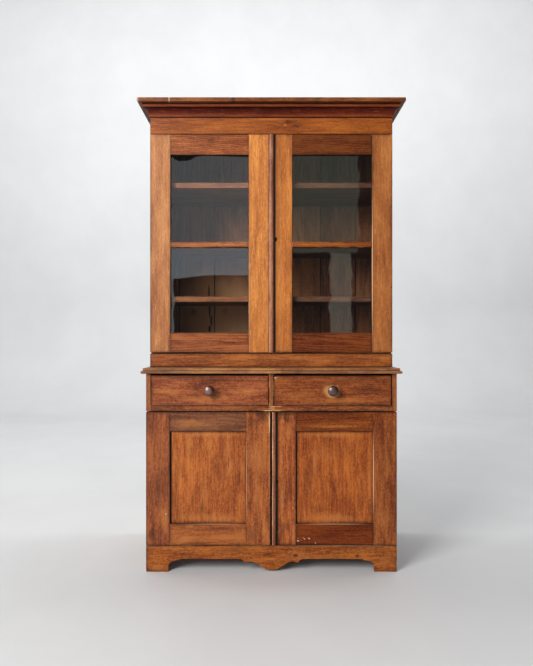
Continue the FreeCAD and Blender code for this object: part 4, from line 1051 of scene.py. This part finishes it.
def crownProfile(spec):
    # a toe, a hollow that is an arc through a point set square behind its chord's middle, and a fillet
    fillet, lip, ease = spec["height"] - spec["fillet"], spec["projection"] - spec["lip"], spec["ease"]
    start, end = np.array((spec["toe"], spec["toeHeight"])), np.array((lip, fillet))
    chord = end - start
    square = np.array((-chord[1], chord[0])) / math.hypot(*chord)
    curve = [(0.0, 0.0), (spec["toe"] - ease, 0.0), (spec["toe"], ease)]
    curve += arcPoints(start, (start + end) / 2 + spec["hollow"] * square, end, 16)
    curve += quarterRound((spec["projection"] - ease, fillet + ease), ease, 270, 360, 3)
    curve += [(spec["projection"], spec["height"]), (0.0, spec["height"])]
    return np.array(curve)


mouldings = {
    "slab": {
        "grain": "x", "face": "z", "colour": (0.195, 0.056, 0.014), "seed": 71.0,
        # painted shadow along the slab's foot, over the crown
        "lines": [("z", 2.116, 0.0006, 0.0012, 0.5)],
        "smudges": [(-0.186, -0.1738, 0.02, 0.012, 0.8), (-0.186, 0.21, 0.02, 0.03, 0.5)],
        "chips": [(-0.186, -0.608, 0.02, 0.006, 0.45), (-0.186, -0.4637, 0.02, 0.0045, 0.45)]
    },
    "crownFront": {
        "grain": "x", "colour": (0.175, 0.036, 0.011), "seed": 72.0, "contrast": 1.4, "specular": 0.1,
        # the hollow is painted darker towards its top and the fillet paler: painted shade and highlight of
        # how they face the light; the lines are painted shadow under the slab and the fillet
        "others": [("z", 2.0665, 2.082, (0.09, 0.012, 0.0037)), ("z", 2.078, 2.099, (0.068, 0.006, 0.002)),
            ("z", 2.1, 2.1004, (0.205, 0.04, 0.012))],
        "lines": [("z", 2.1158, 0.0016, 0.003, 0.97), ("z", 2.1004, 0.0008, 0.0012, 0.7)]
    },
    "counter": {
        "grain": "x", "face": "z", "colour": (0.265, 0.1, 0.039), "seed": 73.0, "contrast": 1.8,
        "others": [("z", 0.8982, 0.8984, (0.26, 0.1, 0.036))],
        # painted shade in the quirk and under the nose
        "lines": [("z", 0.8985, 0.0006, 0.0012, 0.9), ("z", 0.885, 0.0004, 0.0014, 0.6)],
        "smudges": [(-0.24, -0.47, 0.03, 0.08, 0.45), (-0.24, 0.12, 0.03, 0.03, 0.3)],
        "wear": [(-0.24, -0.27, 0.03, 0.09, 0.4), (-0.24, -0.04, 0.03, 0.07, 0.5)]
    },
    "upperBead": {
        "grain": "z", "colour": (0.285, 0.095, 0.044), "seed": 74.0,
        # the paler left side is a painted highlight; the dark line is painted shade at its foot
        "others": [("x", -0.0045, -0.007, (0.36, 0.21, 0.165))],
        "lines": [("x", 0.0112, 0.0004, 0.0012, 0.8)]
    },
    "lowerBead": {
        "grain": "z", "colour": (0.235, 0.076, 0.031), "seed": 75.0,
        # the paler left side is a painted highlight; the dark lines are painted shade at its feet
        "others": [("x", 0.0082, 0.0058, (0.4, 0.22, 0.15))],
        "lines": [("x", 0.0025, 0.0004, 0.0008, 0.8), ("x", 0.0205, 0.0006, 0.0012, 0.85)]
    },
}
mouldings["crownSide"] = {**mouldings["crownFront"], "grain": "y", "face": "x", "seed": 76.0}
woods = {name: pineMaterial(name + "Wood", spec) for name, spec in mouldings.items()}

halfCase, backFace = 0.56, 0.26    # half the width of both cases, and the plane of their backs
upperFace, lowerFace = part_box("frieze_board")[0][1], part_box("bracket_base")[0][1]
slabFoot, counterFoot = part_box("cornice_top_board")[0][2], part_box("counter_top")[0][2]
for name, replaced, wood, spec, profile, faceY, foot in (
        ("cornice_slab", "cornice_top_board", "slab", slab, slabProfile, upperFace, slabFoot),
        ("counter_board", "counter_top", "counter", counter, counterProfile, lowerFace, counterFoot)):
    points, faces = edgedBoard(profile(spec), halfCase, faceY, backFace, foot, spec["seed"], spec["dents"])
    makePiece(name, points, faces, woods[wood], "cabinet", "stained_pine", (replaced,))
crownParts = mitredLengths(crownProfile(crown), halfCase, upperFace, backFace, slabFoot - crown["height"],
                           crown["seed"])
for name, (points, faces) in zip(("crown_front", "crown_left_return", "crown_right_return"), crownParts):
    wood = woods["crownFront" if name == "crown_front" else "crownSide"]
    makePiece(name, points, faces, wood, "cabinet", "dark_pine", ("crown_moulding",))
print("crown, slab and counter planed")

bead = {"proud": 0.005, "points": 17, "frontShare": 0.6, "seeds": {"upper": 51, "lower": 61}}


def makeBead(level, spec):
    # half-round between the node's sides: foot, arc over the front, foot, carried up the door
    node = level + "_right_door_bead"
    low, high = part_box(node)
    middle, width = (low[0] + high[0]) / 2, high[0] - low[0]
    springs = low[1] + spec["proud"]
    arc = arcPoints((high[0], springs), (middle, low[1]), (low[0], springs), spec["points"])
    section = np.array([(high[0], high[1]), *arc, (low[0], high[1])])
    rise = low[2] + (high[2] - low[2]) * stepsAlong(high[2] - low[2])
    wander = handWander(rise, spec["seeds"][level]) * (section[:, 1:2] < high[1] - planing["flat"])
    x = middle + (section[:, :1] - middle) * (1 - 2 * wander / width)
    y = section[:, 1:2] + wander * spec["frontShare"]
    points = np.stack([x, y, rise + 0 * x], axis=-1)
    makePiece(level + "_half_round", points, sweptFaces(*points.shape[:2], True), woods[level + "Bead"],
              level + "_right_door", "stained_pine", (node,))


for level in bead["seeds"]:
    makeBead(level, bead)
print("beads planed")


# Glass: each pane is a box whose two faces are gently wavy sheets, as old cylinder glass is

glass = {
    "wave": 0.00011,
    "waveLength": 0.085,
    "waves": 9,
    "heading": 0.6,           # how far a wave turns from the pane's height, in radians
    "lengths": (0.6, 2.2),    # a wave's length and height vary so much
    "heights": (0.4, 1.0),
    "calm": 4,
    "ownWave": 0.25,          # how much the back of a pane differs from its front
    "step": 0.006,
    "lip": 0.007,             # how far a pane runs behind the cross bar
    "behindSight": 0.007,     # how far it runs behind the stiles and rails
    "dirtyEdge": 0.0026,      # the dark line round the sight: old putty and dirt, and painted shade of the rebate
    "dirtWaves": (60.0,),
    "clear": (0.93, 0.97, 0.94),
    "ior": 1.5,
    "seeds": {"upper_left_door": (395, 4), "upper_right_door": (11, 12)},
}


def glassMaterial(name, sight):
    # clear glass, matt and dark at its edge, where old putty, dirt and painted shade of the rebate lie
    material, tree, shader = newMaterial(name)
    place = objectPlace(tree)
    x, y, z = addNode(tree, "SeparateXYZ", [place]).outputs
    reach = calc(tree, "MULTIPLY", noise(tree, place, glass["dirtWaves"]), glass["dirtyEdge"] * 2)
    dirt = calc(tree, "LESS_THAN", edgeDistance(tree, x, z, sight), reach)
    plug(tree, shader, {
        "Base Color": blendColour(tree, dirt, glass["clear"], paints["gap"]),
        "Transmission Weight": calc(tree, "SUBTRACT", 1.0, dirt),
        "Roughness": dirt,
        "IOR": glass["ior"],
    })
    return material


def wavySheet(x, z, rng, spec):
    # height = sum of sines that run in random directions, more of them along the pane's height
    height = np.zeros_like(x)
    for turn in range(spec["waves"]):
        heading = rng.uniform(-spec["heading"], spec["heading"])
        length = spec["waveLength"] * rng.uniform(*spec["lengths"])
        run = (x * math.sin(heading) + z * math.cos(heading)) / length
        height += np.sin(math.tau * run + rng.uniform(0, math.tau)) * rng.uniform(*spec["heights"]) * length
    return spec["wave"] * height / (spec["calm"] * spec["waveLength"])


def makePane(name, box, seed, body, node):
    # the front sheet, the back one behind it, and a rim of quads round the two
    (x0, y0, z0), (x1, y1, z1) = box
    rng = np.random.default_rng(seed)
    columns, rows = (int(length / glass["step"]) + 1 for length in (x1 - x0, z1 - z0))
    x, z = np.meshgrid(np.linspace(x0, x1, columns), np.linspace(z0, z1, rows))
    inset = glass["wave"] * 3
    front = y0 + inset + wavySheet(x, z, rng, glass)
    back = front - y0 + y1 - inset * 2 + glass["ownWave"] * wavySheet(x, z, rng, glass)
    points = np.stack([(x, front, z), (x, back, z)]).transpose(0, 2, 3, 1)
    faces = np.array(gridFaces(rows, columns, closeColumns=False))
    place = np.arange(rows * columns).reshape(rows, columns)
    border = np.concatenate([place[0, :-1], place[:-1, -1], place[-1, :0:-1], place[:0:-1, 0]])
    onward, count = np.roll(border, -1), rows * columns
    rim = np.stack([border + count, onward + count, onward, border], axis=1)
    hidden = glass["behindSight"]
    material = glassMaterial(name + "Glass", (x0 + hidden, x1 - hidden, z0 - hidden, z1 - hidden))
    quads = np.concatenate([faces, faces[:, ::-1] + count, rim]).tolist()
    pane = makePiece(name, points, quads, material, body, "old_glass", (node,))
    pane.visible_shadow = False


for door, seeds in glass["seeds"].items():
    low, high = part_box(door + "_glass")
    barLow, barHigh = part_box(door + "_muntin")
    lowerTop, upperFoot = barLow[2] + glass["lip"], barHigh[2] - glass["lip"]
    makePane(door + "_lower_pane", (low, (*high[:2], lowerTop)), seeds[0], door, door + "_glass")
    makePane(door + "_upper_pane", ((*low[:2], upperFoot), high), seeds[1], door, door + "_glass")
print("panes made")


# Iron and putty

iron = {
    "clean": (0.035, 0.03, 0.027), "rust": (0.11, 0.05, 0.025), "rustNoise": ((90.0,), 4.0, 0.6),
    "rustBand": (0.42, 0.62), "roughness": (0.42, 0.75), "metallic": 0.7, "pits": ((400.0,), 3.0),
    "bump": 0.0002
}
putty = {
    "pale": (0.19, 0.12, 0.075), "dirty": (0.1, 0.055, 0.032), "dirtNoise": ((40.0,), 4.0, 0.6),
    "dirtBand": (0.35, 0.65), "roughness": 0.8, "bump": 0.0006
}


def ironMaterial(spec):
    material, tree, shader = newMaterial("agedIron")
    place = objectPlace(tree)
    rust = remap(tree, noise(tree, place, *spec["rustNoise"]), *spec["rustBand"])
    plug(tree, shader, {
        "Base Color": blendColour(tree, rust, spec["clean"], spec["rust"]),
        "Roughness": remap(tree, rust, 0.0, 1.0, *spec["roughness"], False),
        "Metallic": spec["metallic"],
        "Normal": bump(tree, noise(tree, place, *spec["pits"]), spec["bump"]),
    })
    return material


def puttyMaterial(spec):
    material, tree, shader = newMaterial("oldPutty")
    dirt = noise(tree, objectPlace(tree), *spec["dirtNoise"])
    plug(tree, shader, {
        "Base Color": blendColour(tree, remap(tree, dirt, *spec["dirtBand"]), spec["pale"], spec["dirty"]),
        "Roughness": spec["roughness"],
        "Normal": bump(tree, dirt, spec["bump"]),
    })
    return material


agedIron, oldPutty = ironMaterial(iron), puttyMaterial(putty)
for node, piece in nodes.items():
    if node.endswith(("leaves", "lock", "bolt")):
        setMaterial(piece, agedIron)
    if node.endswith("putty"):
        setMaterial(piece, oldPutty)
print("iron and putty finished")


def headFaces(feet, tops):
    # small closed heads: each ring of foot points is joined to its ring of top points, and both are filled
    count, steps = feet.shape[:2]
    i = np.arange(steps)
    turn = (i + 1) % steps
    sides = np.stack([i, turn, steps + turn, steps + i], axis=-1)
    faces = []
    for start in range(0, count * 2 * steps, 2 * steps):
        faces += [(start + i[::-1]).tolist(), (start + steps + i).tolist(), *(start + sides).tolist()]
    return np.concatenate([feet, tops], axis=1), faces


# Screws of the hinges and locks: a thin round head in two halves, with the slot left open between them

screw = {"radius": 0.0031, "height": 0.0001, "slot": 0.0006, "steps": 7, "slots": (20.0, 75.0, -35.0),
         "hingeRise": (-0.013, 0.0, 0.013), "fromCaseSide": 0.0095, "fromLockEdge": 0.008,
         "doorLeaf": 0.0213, "caseLeaf": 0.0217}    # how far behind the case's front the leaves' faces lie
hingeHeights = {"lower": (0.2433, 0.6114), "upper": (1.0762, 1.8762)}


def screwHeads(places, facing):
    # half circles either side of the slot; facing is +1 for heads that look backwards, -1 for the front
    tilt = math.asin(screw["slot"] / screw["radius"])
    arc = np.linspace(tilt, math.pi - tilt, screw["steps"])
    slots = np.radians(np.resize(screw["slots"], len(places)))
    angles = (slots[:, None, None] + np.array([[0.0], [math.pi]]) + arc).reshape(-1, screw["steps"])
    rings = screw["radius"] * np.stack([-facing * np.cos(angles), 0 * angles, np.sin(angles)], axis=-1)
    feet = np.repeat(places, 2, axis=0)[:, None] + rings
    return headFaces(feet, feet + (0.0, facing * screw["height"], 0.0))


def leafScrews(level, hand, y):
    x = hand * (halfCase - screw["fromCaseSide"])
    return [(x, y, z + rise) for z in hingeHeights[level] for rise in screw["hingeRise"]]


caseScrews = []
for level, faceY in (("upper", upperFace), ("lower", lowerFace)):
    for side, hand in (("left", -1), ("right", 1)):
        door = level + "_" + side + "_door"
        heads = screwHeads(leafScrews(level, hand, faceY + screw["doorLeaf"]), 1)
        makePiece(door + "_hinge_screws", *heads, agedIron, door, "iron")
        caseScrews += leafScrews(level, hand, faceY + screw["caseLeaf"])
makePiece("case_hinge_screws", *screwHeads(caseScrews, -1), agedIron, "cabinet", "iron")
for level in ("upper", "lower"):
    low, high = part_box(level + "_right_door_lock")
    xs, zs = ((low[axis] + screw["fromLockEdge"], high[axis] - screw["fromLockEdge"]) for axis in (0, 2))
    heads = screwHeads([(x, high[1], z) for x in xs for z in zs], 1)
    makePiece(level + "_lock_screws", *heads, agedIron, level + "_right_door", "iron")
print("screws driven")


# Heads of the cut nails that hold the base and the frieze, oblong and set a hair proud

nails = {"halfWidth": 0.0013, "halfHeight": 0.0026, "proud": 0.0003, "sunk": 0.0002, "taper": 0.7,
         "base": [(-0.5545, 0.0995), (-0.5545, 0.024), (0.5545, 0.096), (0.5545, 0.026)],
         "frieze": [(-0.5528, 2.017), (0.552, 2.021)]}


def nailHeads(places, faceY):
    # four corners just behind the face, and the same four, drawn in a little, just before it
    corners = np.array([(-1, 0, -1), (1, 0, -1), (1, 0, 1), (-1, 0, 1)]) * (nails["halfWidth"], 0,
                                                                            nails["halfHeight"])
    middles = np.array([[(x, faceY, z)] for x, z in places])
    return headFaces(middles + corners + (0, nails["sunk"], 0),
                     middles + corners * nails["taper"] - (0, nails["proud"], 0))


for name, faceY in (("base", lowerFace), ("frieze", upperFace)):
    makePiece(name + "_nails", *nailHeads(nails[name], faceY), agedIron, "cabinet", "iron")
print("nails set")


# Knobs, turned: a profile of (radius, distance from the drawer front) carried round the knob's axis

knobShape = {
    "reach": 0.04, "radius": 0.0237, "domeRadius": 0.0195, "domeRise": 0.006, "rimHeight": 0.013,
    "collarRadius": 0.015, "collarHeight": 0.004, "neckRadius": 0.0105, "tenonRadius": 0.008, "tenon": 0.021,
    "foot": 0.0002, "footEase": (0.0005, 0.0008), "tip": 0.0004, "turns": 72,
}
knobLook = {
    "streaks": ((60.0, 25.0, 180.0), 3.0, 0.6, 0.5), "streakBand": (0.38, 0.62),
    "rubbedAt": (-0.0045, 0.0, 0.0025), "rubbedReach": (0.008, 0.023),
    # the pale face and the dark rim are partly wear and partly painted highlight and shade
    "roughness": 0.38, "coat": 0.8, "coatRoughness": 0.2, "bump": 0.0003,
    "left": {"pale": (0.3, 0.12, 0.08), "mid": (0.165, 0.062, 0.042), "deep": (0.02, 0.007, 0.005)},
    "right": {"pale": (0.13, 0.05, 0.045), "mid": (0.065, 0.024, 0.021), "deep": (0.012, 0.005, 0.004)},
}


def knobProfile(spec):
    # tenon, collar, an arc in to the neck and out again, an arc round the rim, and a flat arc over the dome
    rimOut = spec["reach"] - spec["domeRise"]
    underOut = rimOut - spec["rimHeight"]
    under, over = (spec["domeRadius"], underOut), (spec["domeRadius"], rimOut)
    collar = (spec["collarRadius"], spec["collarHeight"])
    waist = (spec["neckRadius"], (spec["collarHeight"] + underOut) / 2)
    easeIn, easeOut = spec["footEase"]
    crest = (spec["domeRadius"] / 2, spec["reach"] - spec["domeRise"] / 4)
    curve = [(spec["tenonRadius"], -spec["tenon"]), (spec["tenonRadius"], spec["foot"]),
             (spec["collarRadius"] - easeIn, spec["foot"]), (spec["collarRadius"], easeOut)]
    curve += arcPoints(collar, waist, under, 14)
    curve += arcPoints(under, (spec["radius"], (underOut + rimOut) / 2), over, 16)[1:]
    curve += arcPoints(over, crest, (spec["tip"], spec["reach"]), 10)[1:]
    return np.array(curve)


def knobMaterial(name, centre, tones):
    # a pale face, partly rubbed by hands and partly a painted highlight set towards the upper left, fading to
    # a dark rim of painted shade that is widest at the right and bottom
    material, tree, shader = newMaterial(name)
    local = vectorCalc(tree, "SUBTRACT", objectPlace(tree), centre)
    streak = noise(tree, local, *knobLook["streaks"])
    colour = rampColour(tree, streak, list(zip(knobLook["streakBand"], (tones["pale"], tones["mid"]))))
    flat = vectorCalc(tree, "MULTIPLY", local, (1.0, 0.0, 1.0))
    offset = vectorCalc(tree, "SUBTRACT", flat, knobLook["rubbedAt"])
    away = addNode(tree, "VectorMath", [offset], operation="LENGTH").outputs["Value"]
    rim = remap(tree, away, *knobLook["rubbedReach"])
    plug(tree, shader, {
        "Base Color": blendColour(tree, rim, colour, tones["deep"]),
        "Roughness": knobLook["roughness"],
        "Coat Weight": knobLook["coat"],
        "Coat Roughness": knobLook["coatRoughness"],
        "Normal": bump(tree, streak, knobLook["bump"]),
    })
    return material


def makeKnob(side, x, y, z):
    # x and z go round the axis by the cosine and the sine of the turn; both ends are filled
    profile = knobProfile(knobShape)
    turns = np.linspace(0, math.tau, knobShape["turns"], endpoint=False)
    radius, out = profile[:, :1], profile[:, 1:2] + 0 * turns
    points = np.stack([x + radius * np.cos(turns), y + knobShape["reach"] - out, z + radius * np.sin(turns)],
                      axis=-1)
    rows, count = points.shape[:2]
    ends = [list(range(count))[::-1], list(range((rows - 1) * count, rows * count))]
    material = knobMaterial(side + "Knob", (x, y, z), knobLook[side])
    makePiece(side + "_turned_knob", points, gridFaces(rows, count) + ends, material, side + "_drawer",
              "knob_wood", (side + "_drawer_knob",))


for side in ("left", "right"):
    low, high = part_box(side + "_drawer_knob")
    makeKnob(side, (low[0] + high[0]) / 2, low[1], (low[2] + high[2]) / 2)
print("knobs turned")


# Studio: pale floor that curves up far behind, a large window-like light from the left, cards in front

studio = {
    "floorHalfWidth": 9.0,
    "floorFront": -9.0,
    "bendStart": 4.4,
    "bendRadius": 1.6,
    "bendSteps": 24,
    "wallTop": 7.0,
    "floorColour": (0.6, 0.605, 0.61),
    "clouds": ((1.4,), 5.0, 0.6),
    "cloudBand": (0.3, 0.7, 0.97, 1.02),
    "floorRoughness": 0.75,
    "worldSeen": (0.8, 0.805, 0.81),
    "worldFill": (0.2, 0.205, 0.215),
    "worldMirrored": (0.06, 0.062, 0.066),
}
lamps = {    # a lamp without an aim looks straight at the front
    "windowLight": {"place": (-3.7, -4.3, 3.7), "aim": (0.0, 0.0, 1.15), "size": (2.6, 3.2), "power": 400.0,
                    "colour": (1.0, 0.985, 0.96)},
    "backgroundLight": {"place": (0.0, 0.9, 6.4), "aim": (0.0, 6.0, 2.6), "size": (12.0, 2.0), "power": 540.0,
                        "colour": (1.0, 1.0, 1.0)},
    "cardLeftLow": {"place": (-2.0, -6.0, 2.24), "size": (4.0, 0.48), "power": 8.1,
                    "colour": (0.8, 0.89, 1.0)},
    "cardLeftHigh": {"place": (-2.0, -6.0, 3.16), "size": (4.0, 1.37), "power": 13.1,
                     "colour": (0.9, 0.95, 1.0)},
    "cardRightHigh": {"place": (0.71, -6.0, 3.11), "size": (1.42, 1.5), "power": 2.5,
                      "colour": (0.88, 1.0, 0.82)},
    "cardRightTall": {"place": (1.14, -6.0, 1.7), "size": (0.34, 1.3), "power": 0.96,
                      "colour": (1.0, 0.94, 0.78)},
    "cardLeftTall": {"place": (-2.0, -6.0, 1.5), "size": (1.06, 1.0), "power": 3.0,
                     "colour": (0.92, 0.97, 1.0)},
}


def makeFloor(spec):
    # profile: flat, a quarter circle, then straight up; carried across the width
    bend = np.linspace(0, math.pi / 2, spec["bendSteps"])
    radius, start = spec["bendRadius"], spec["bendStart"]
    y = np.array([spec["floorFront"], *(start + radius * np.sin(bend)), start + radius])
    z = np.array([0.0, *(radius * (1 - np.cos(bend))), spec["wallTop"]])
    x = spec["floorHalfWidth"] + 0 * y
    points = np.stack([np.stack([hand * x, y, z], axis=1) for hand in (1, -1)], axis=1)
    mesh = bpy.data.meshes.new("studioFloor")
    mesh.from_pydata(points.reshape(-1, 3).tolist(), [], gridFaces(len(y), 2, closeColumns=False))
    mesh.shade_smooth()
    material, tree, shader = newMaterial("paleFloor")
    cloud = remap(tree, noise(tree, objectPlace(tree), *spec["clouds"]), *spec["cloudBand"])
    grey = combine(tree, cloud, cloud, cloud)
    plug(tree, shader, {
        "Base Color": blendColour(tree, 1.0, spec["floorColour"], grey, "MULTIPLY"),
        "Roughness": spec["floorRoughness"],
    })
    mesh.materials.append(material)
    floor = bpy.data.objects.new("studioFloor", mesh)
    bpy.context.scene.collection.objects.link(floor)


def makeWorld(spec):
    # the camera sees a pale room, mirrored rays see a dim one, and all other rays get the soft fill
    world = bpy.data.worlds.new("studioWorld")
    bpy.context.scene.world = world
    world.use_nodes = True
    tree = world.node_tree
    tree.nodes.clear()
    rays = addNode(tree, "LightPath").outputs
    shown = addNode(tree, "Background", [spec["worldFill"]]).outputs[0]
    for key, ray in (("worldMirrored", "Is Glossy Ray"), ("worldSeen", "Is Camera Ray")):
        sky = addNode(tree, "Background", [spec[key]]).outputs[0]
        shown = addNode(tree, "MixShader", [rays[ray], shown, sky]).outputs[0]
    addNode(tree, "OutputWorld", [shown])


def makeLamp(name, spec):
    data = bpy.data.lights.new(name, "AREA")
    data.shape = "RECTANGLE"
    data.size, data.size_y = spec["size"]
    data.energy = spec["power"]
    data.color = spec["colour"]
    lamp = bpy.data.objects.new(name, data)
    bpy.context.scene.collection.objects.link(lamp)
    x, y, z = spec["place"]
    away = np.array(spec["place"]) - spec.get("aim", (x, 0.0, z))
    flat = math.hypot(away[0], away[1])
    lamp.location = spec["place"]
    lamp.rotation_euler = (math.atan2(flat, away[2]), 0.0, math.atan2(away[0], -away[1]))
    lamp.visible_camera = False


makeFloor(studio)
makeWorld(studio)
for name, spec in lamps.items():
    makeLamp(name, spec)
print("studio built")
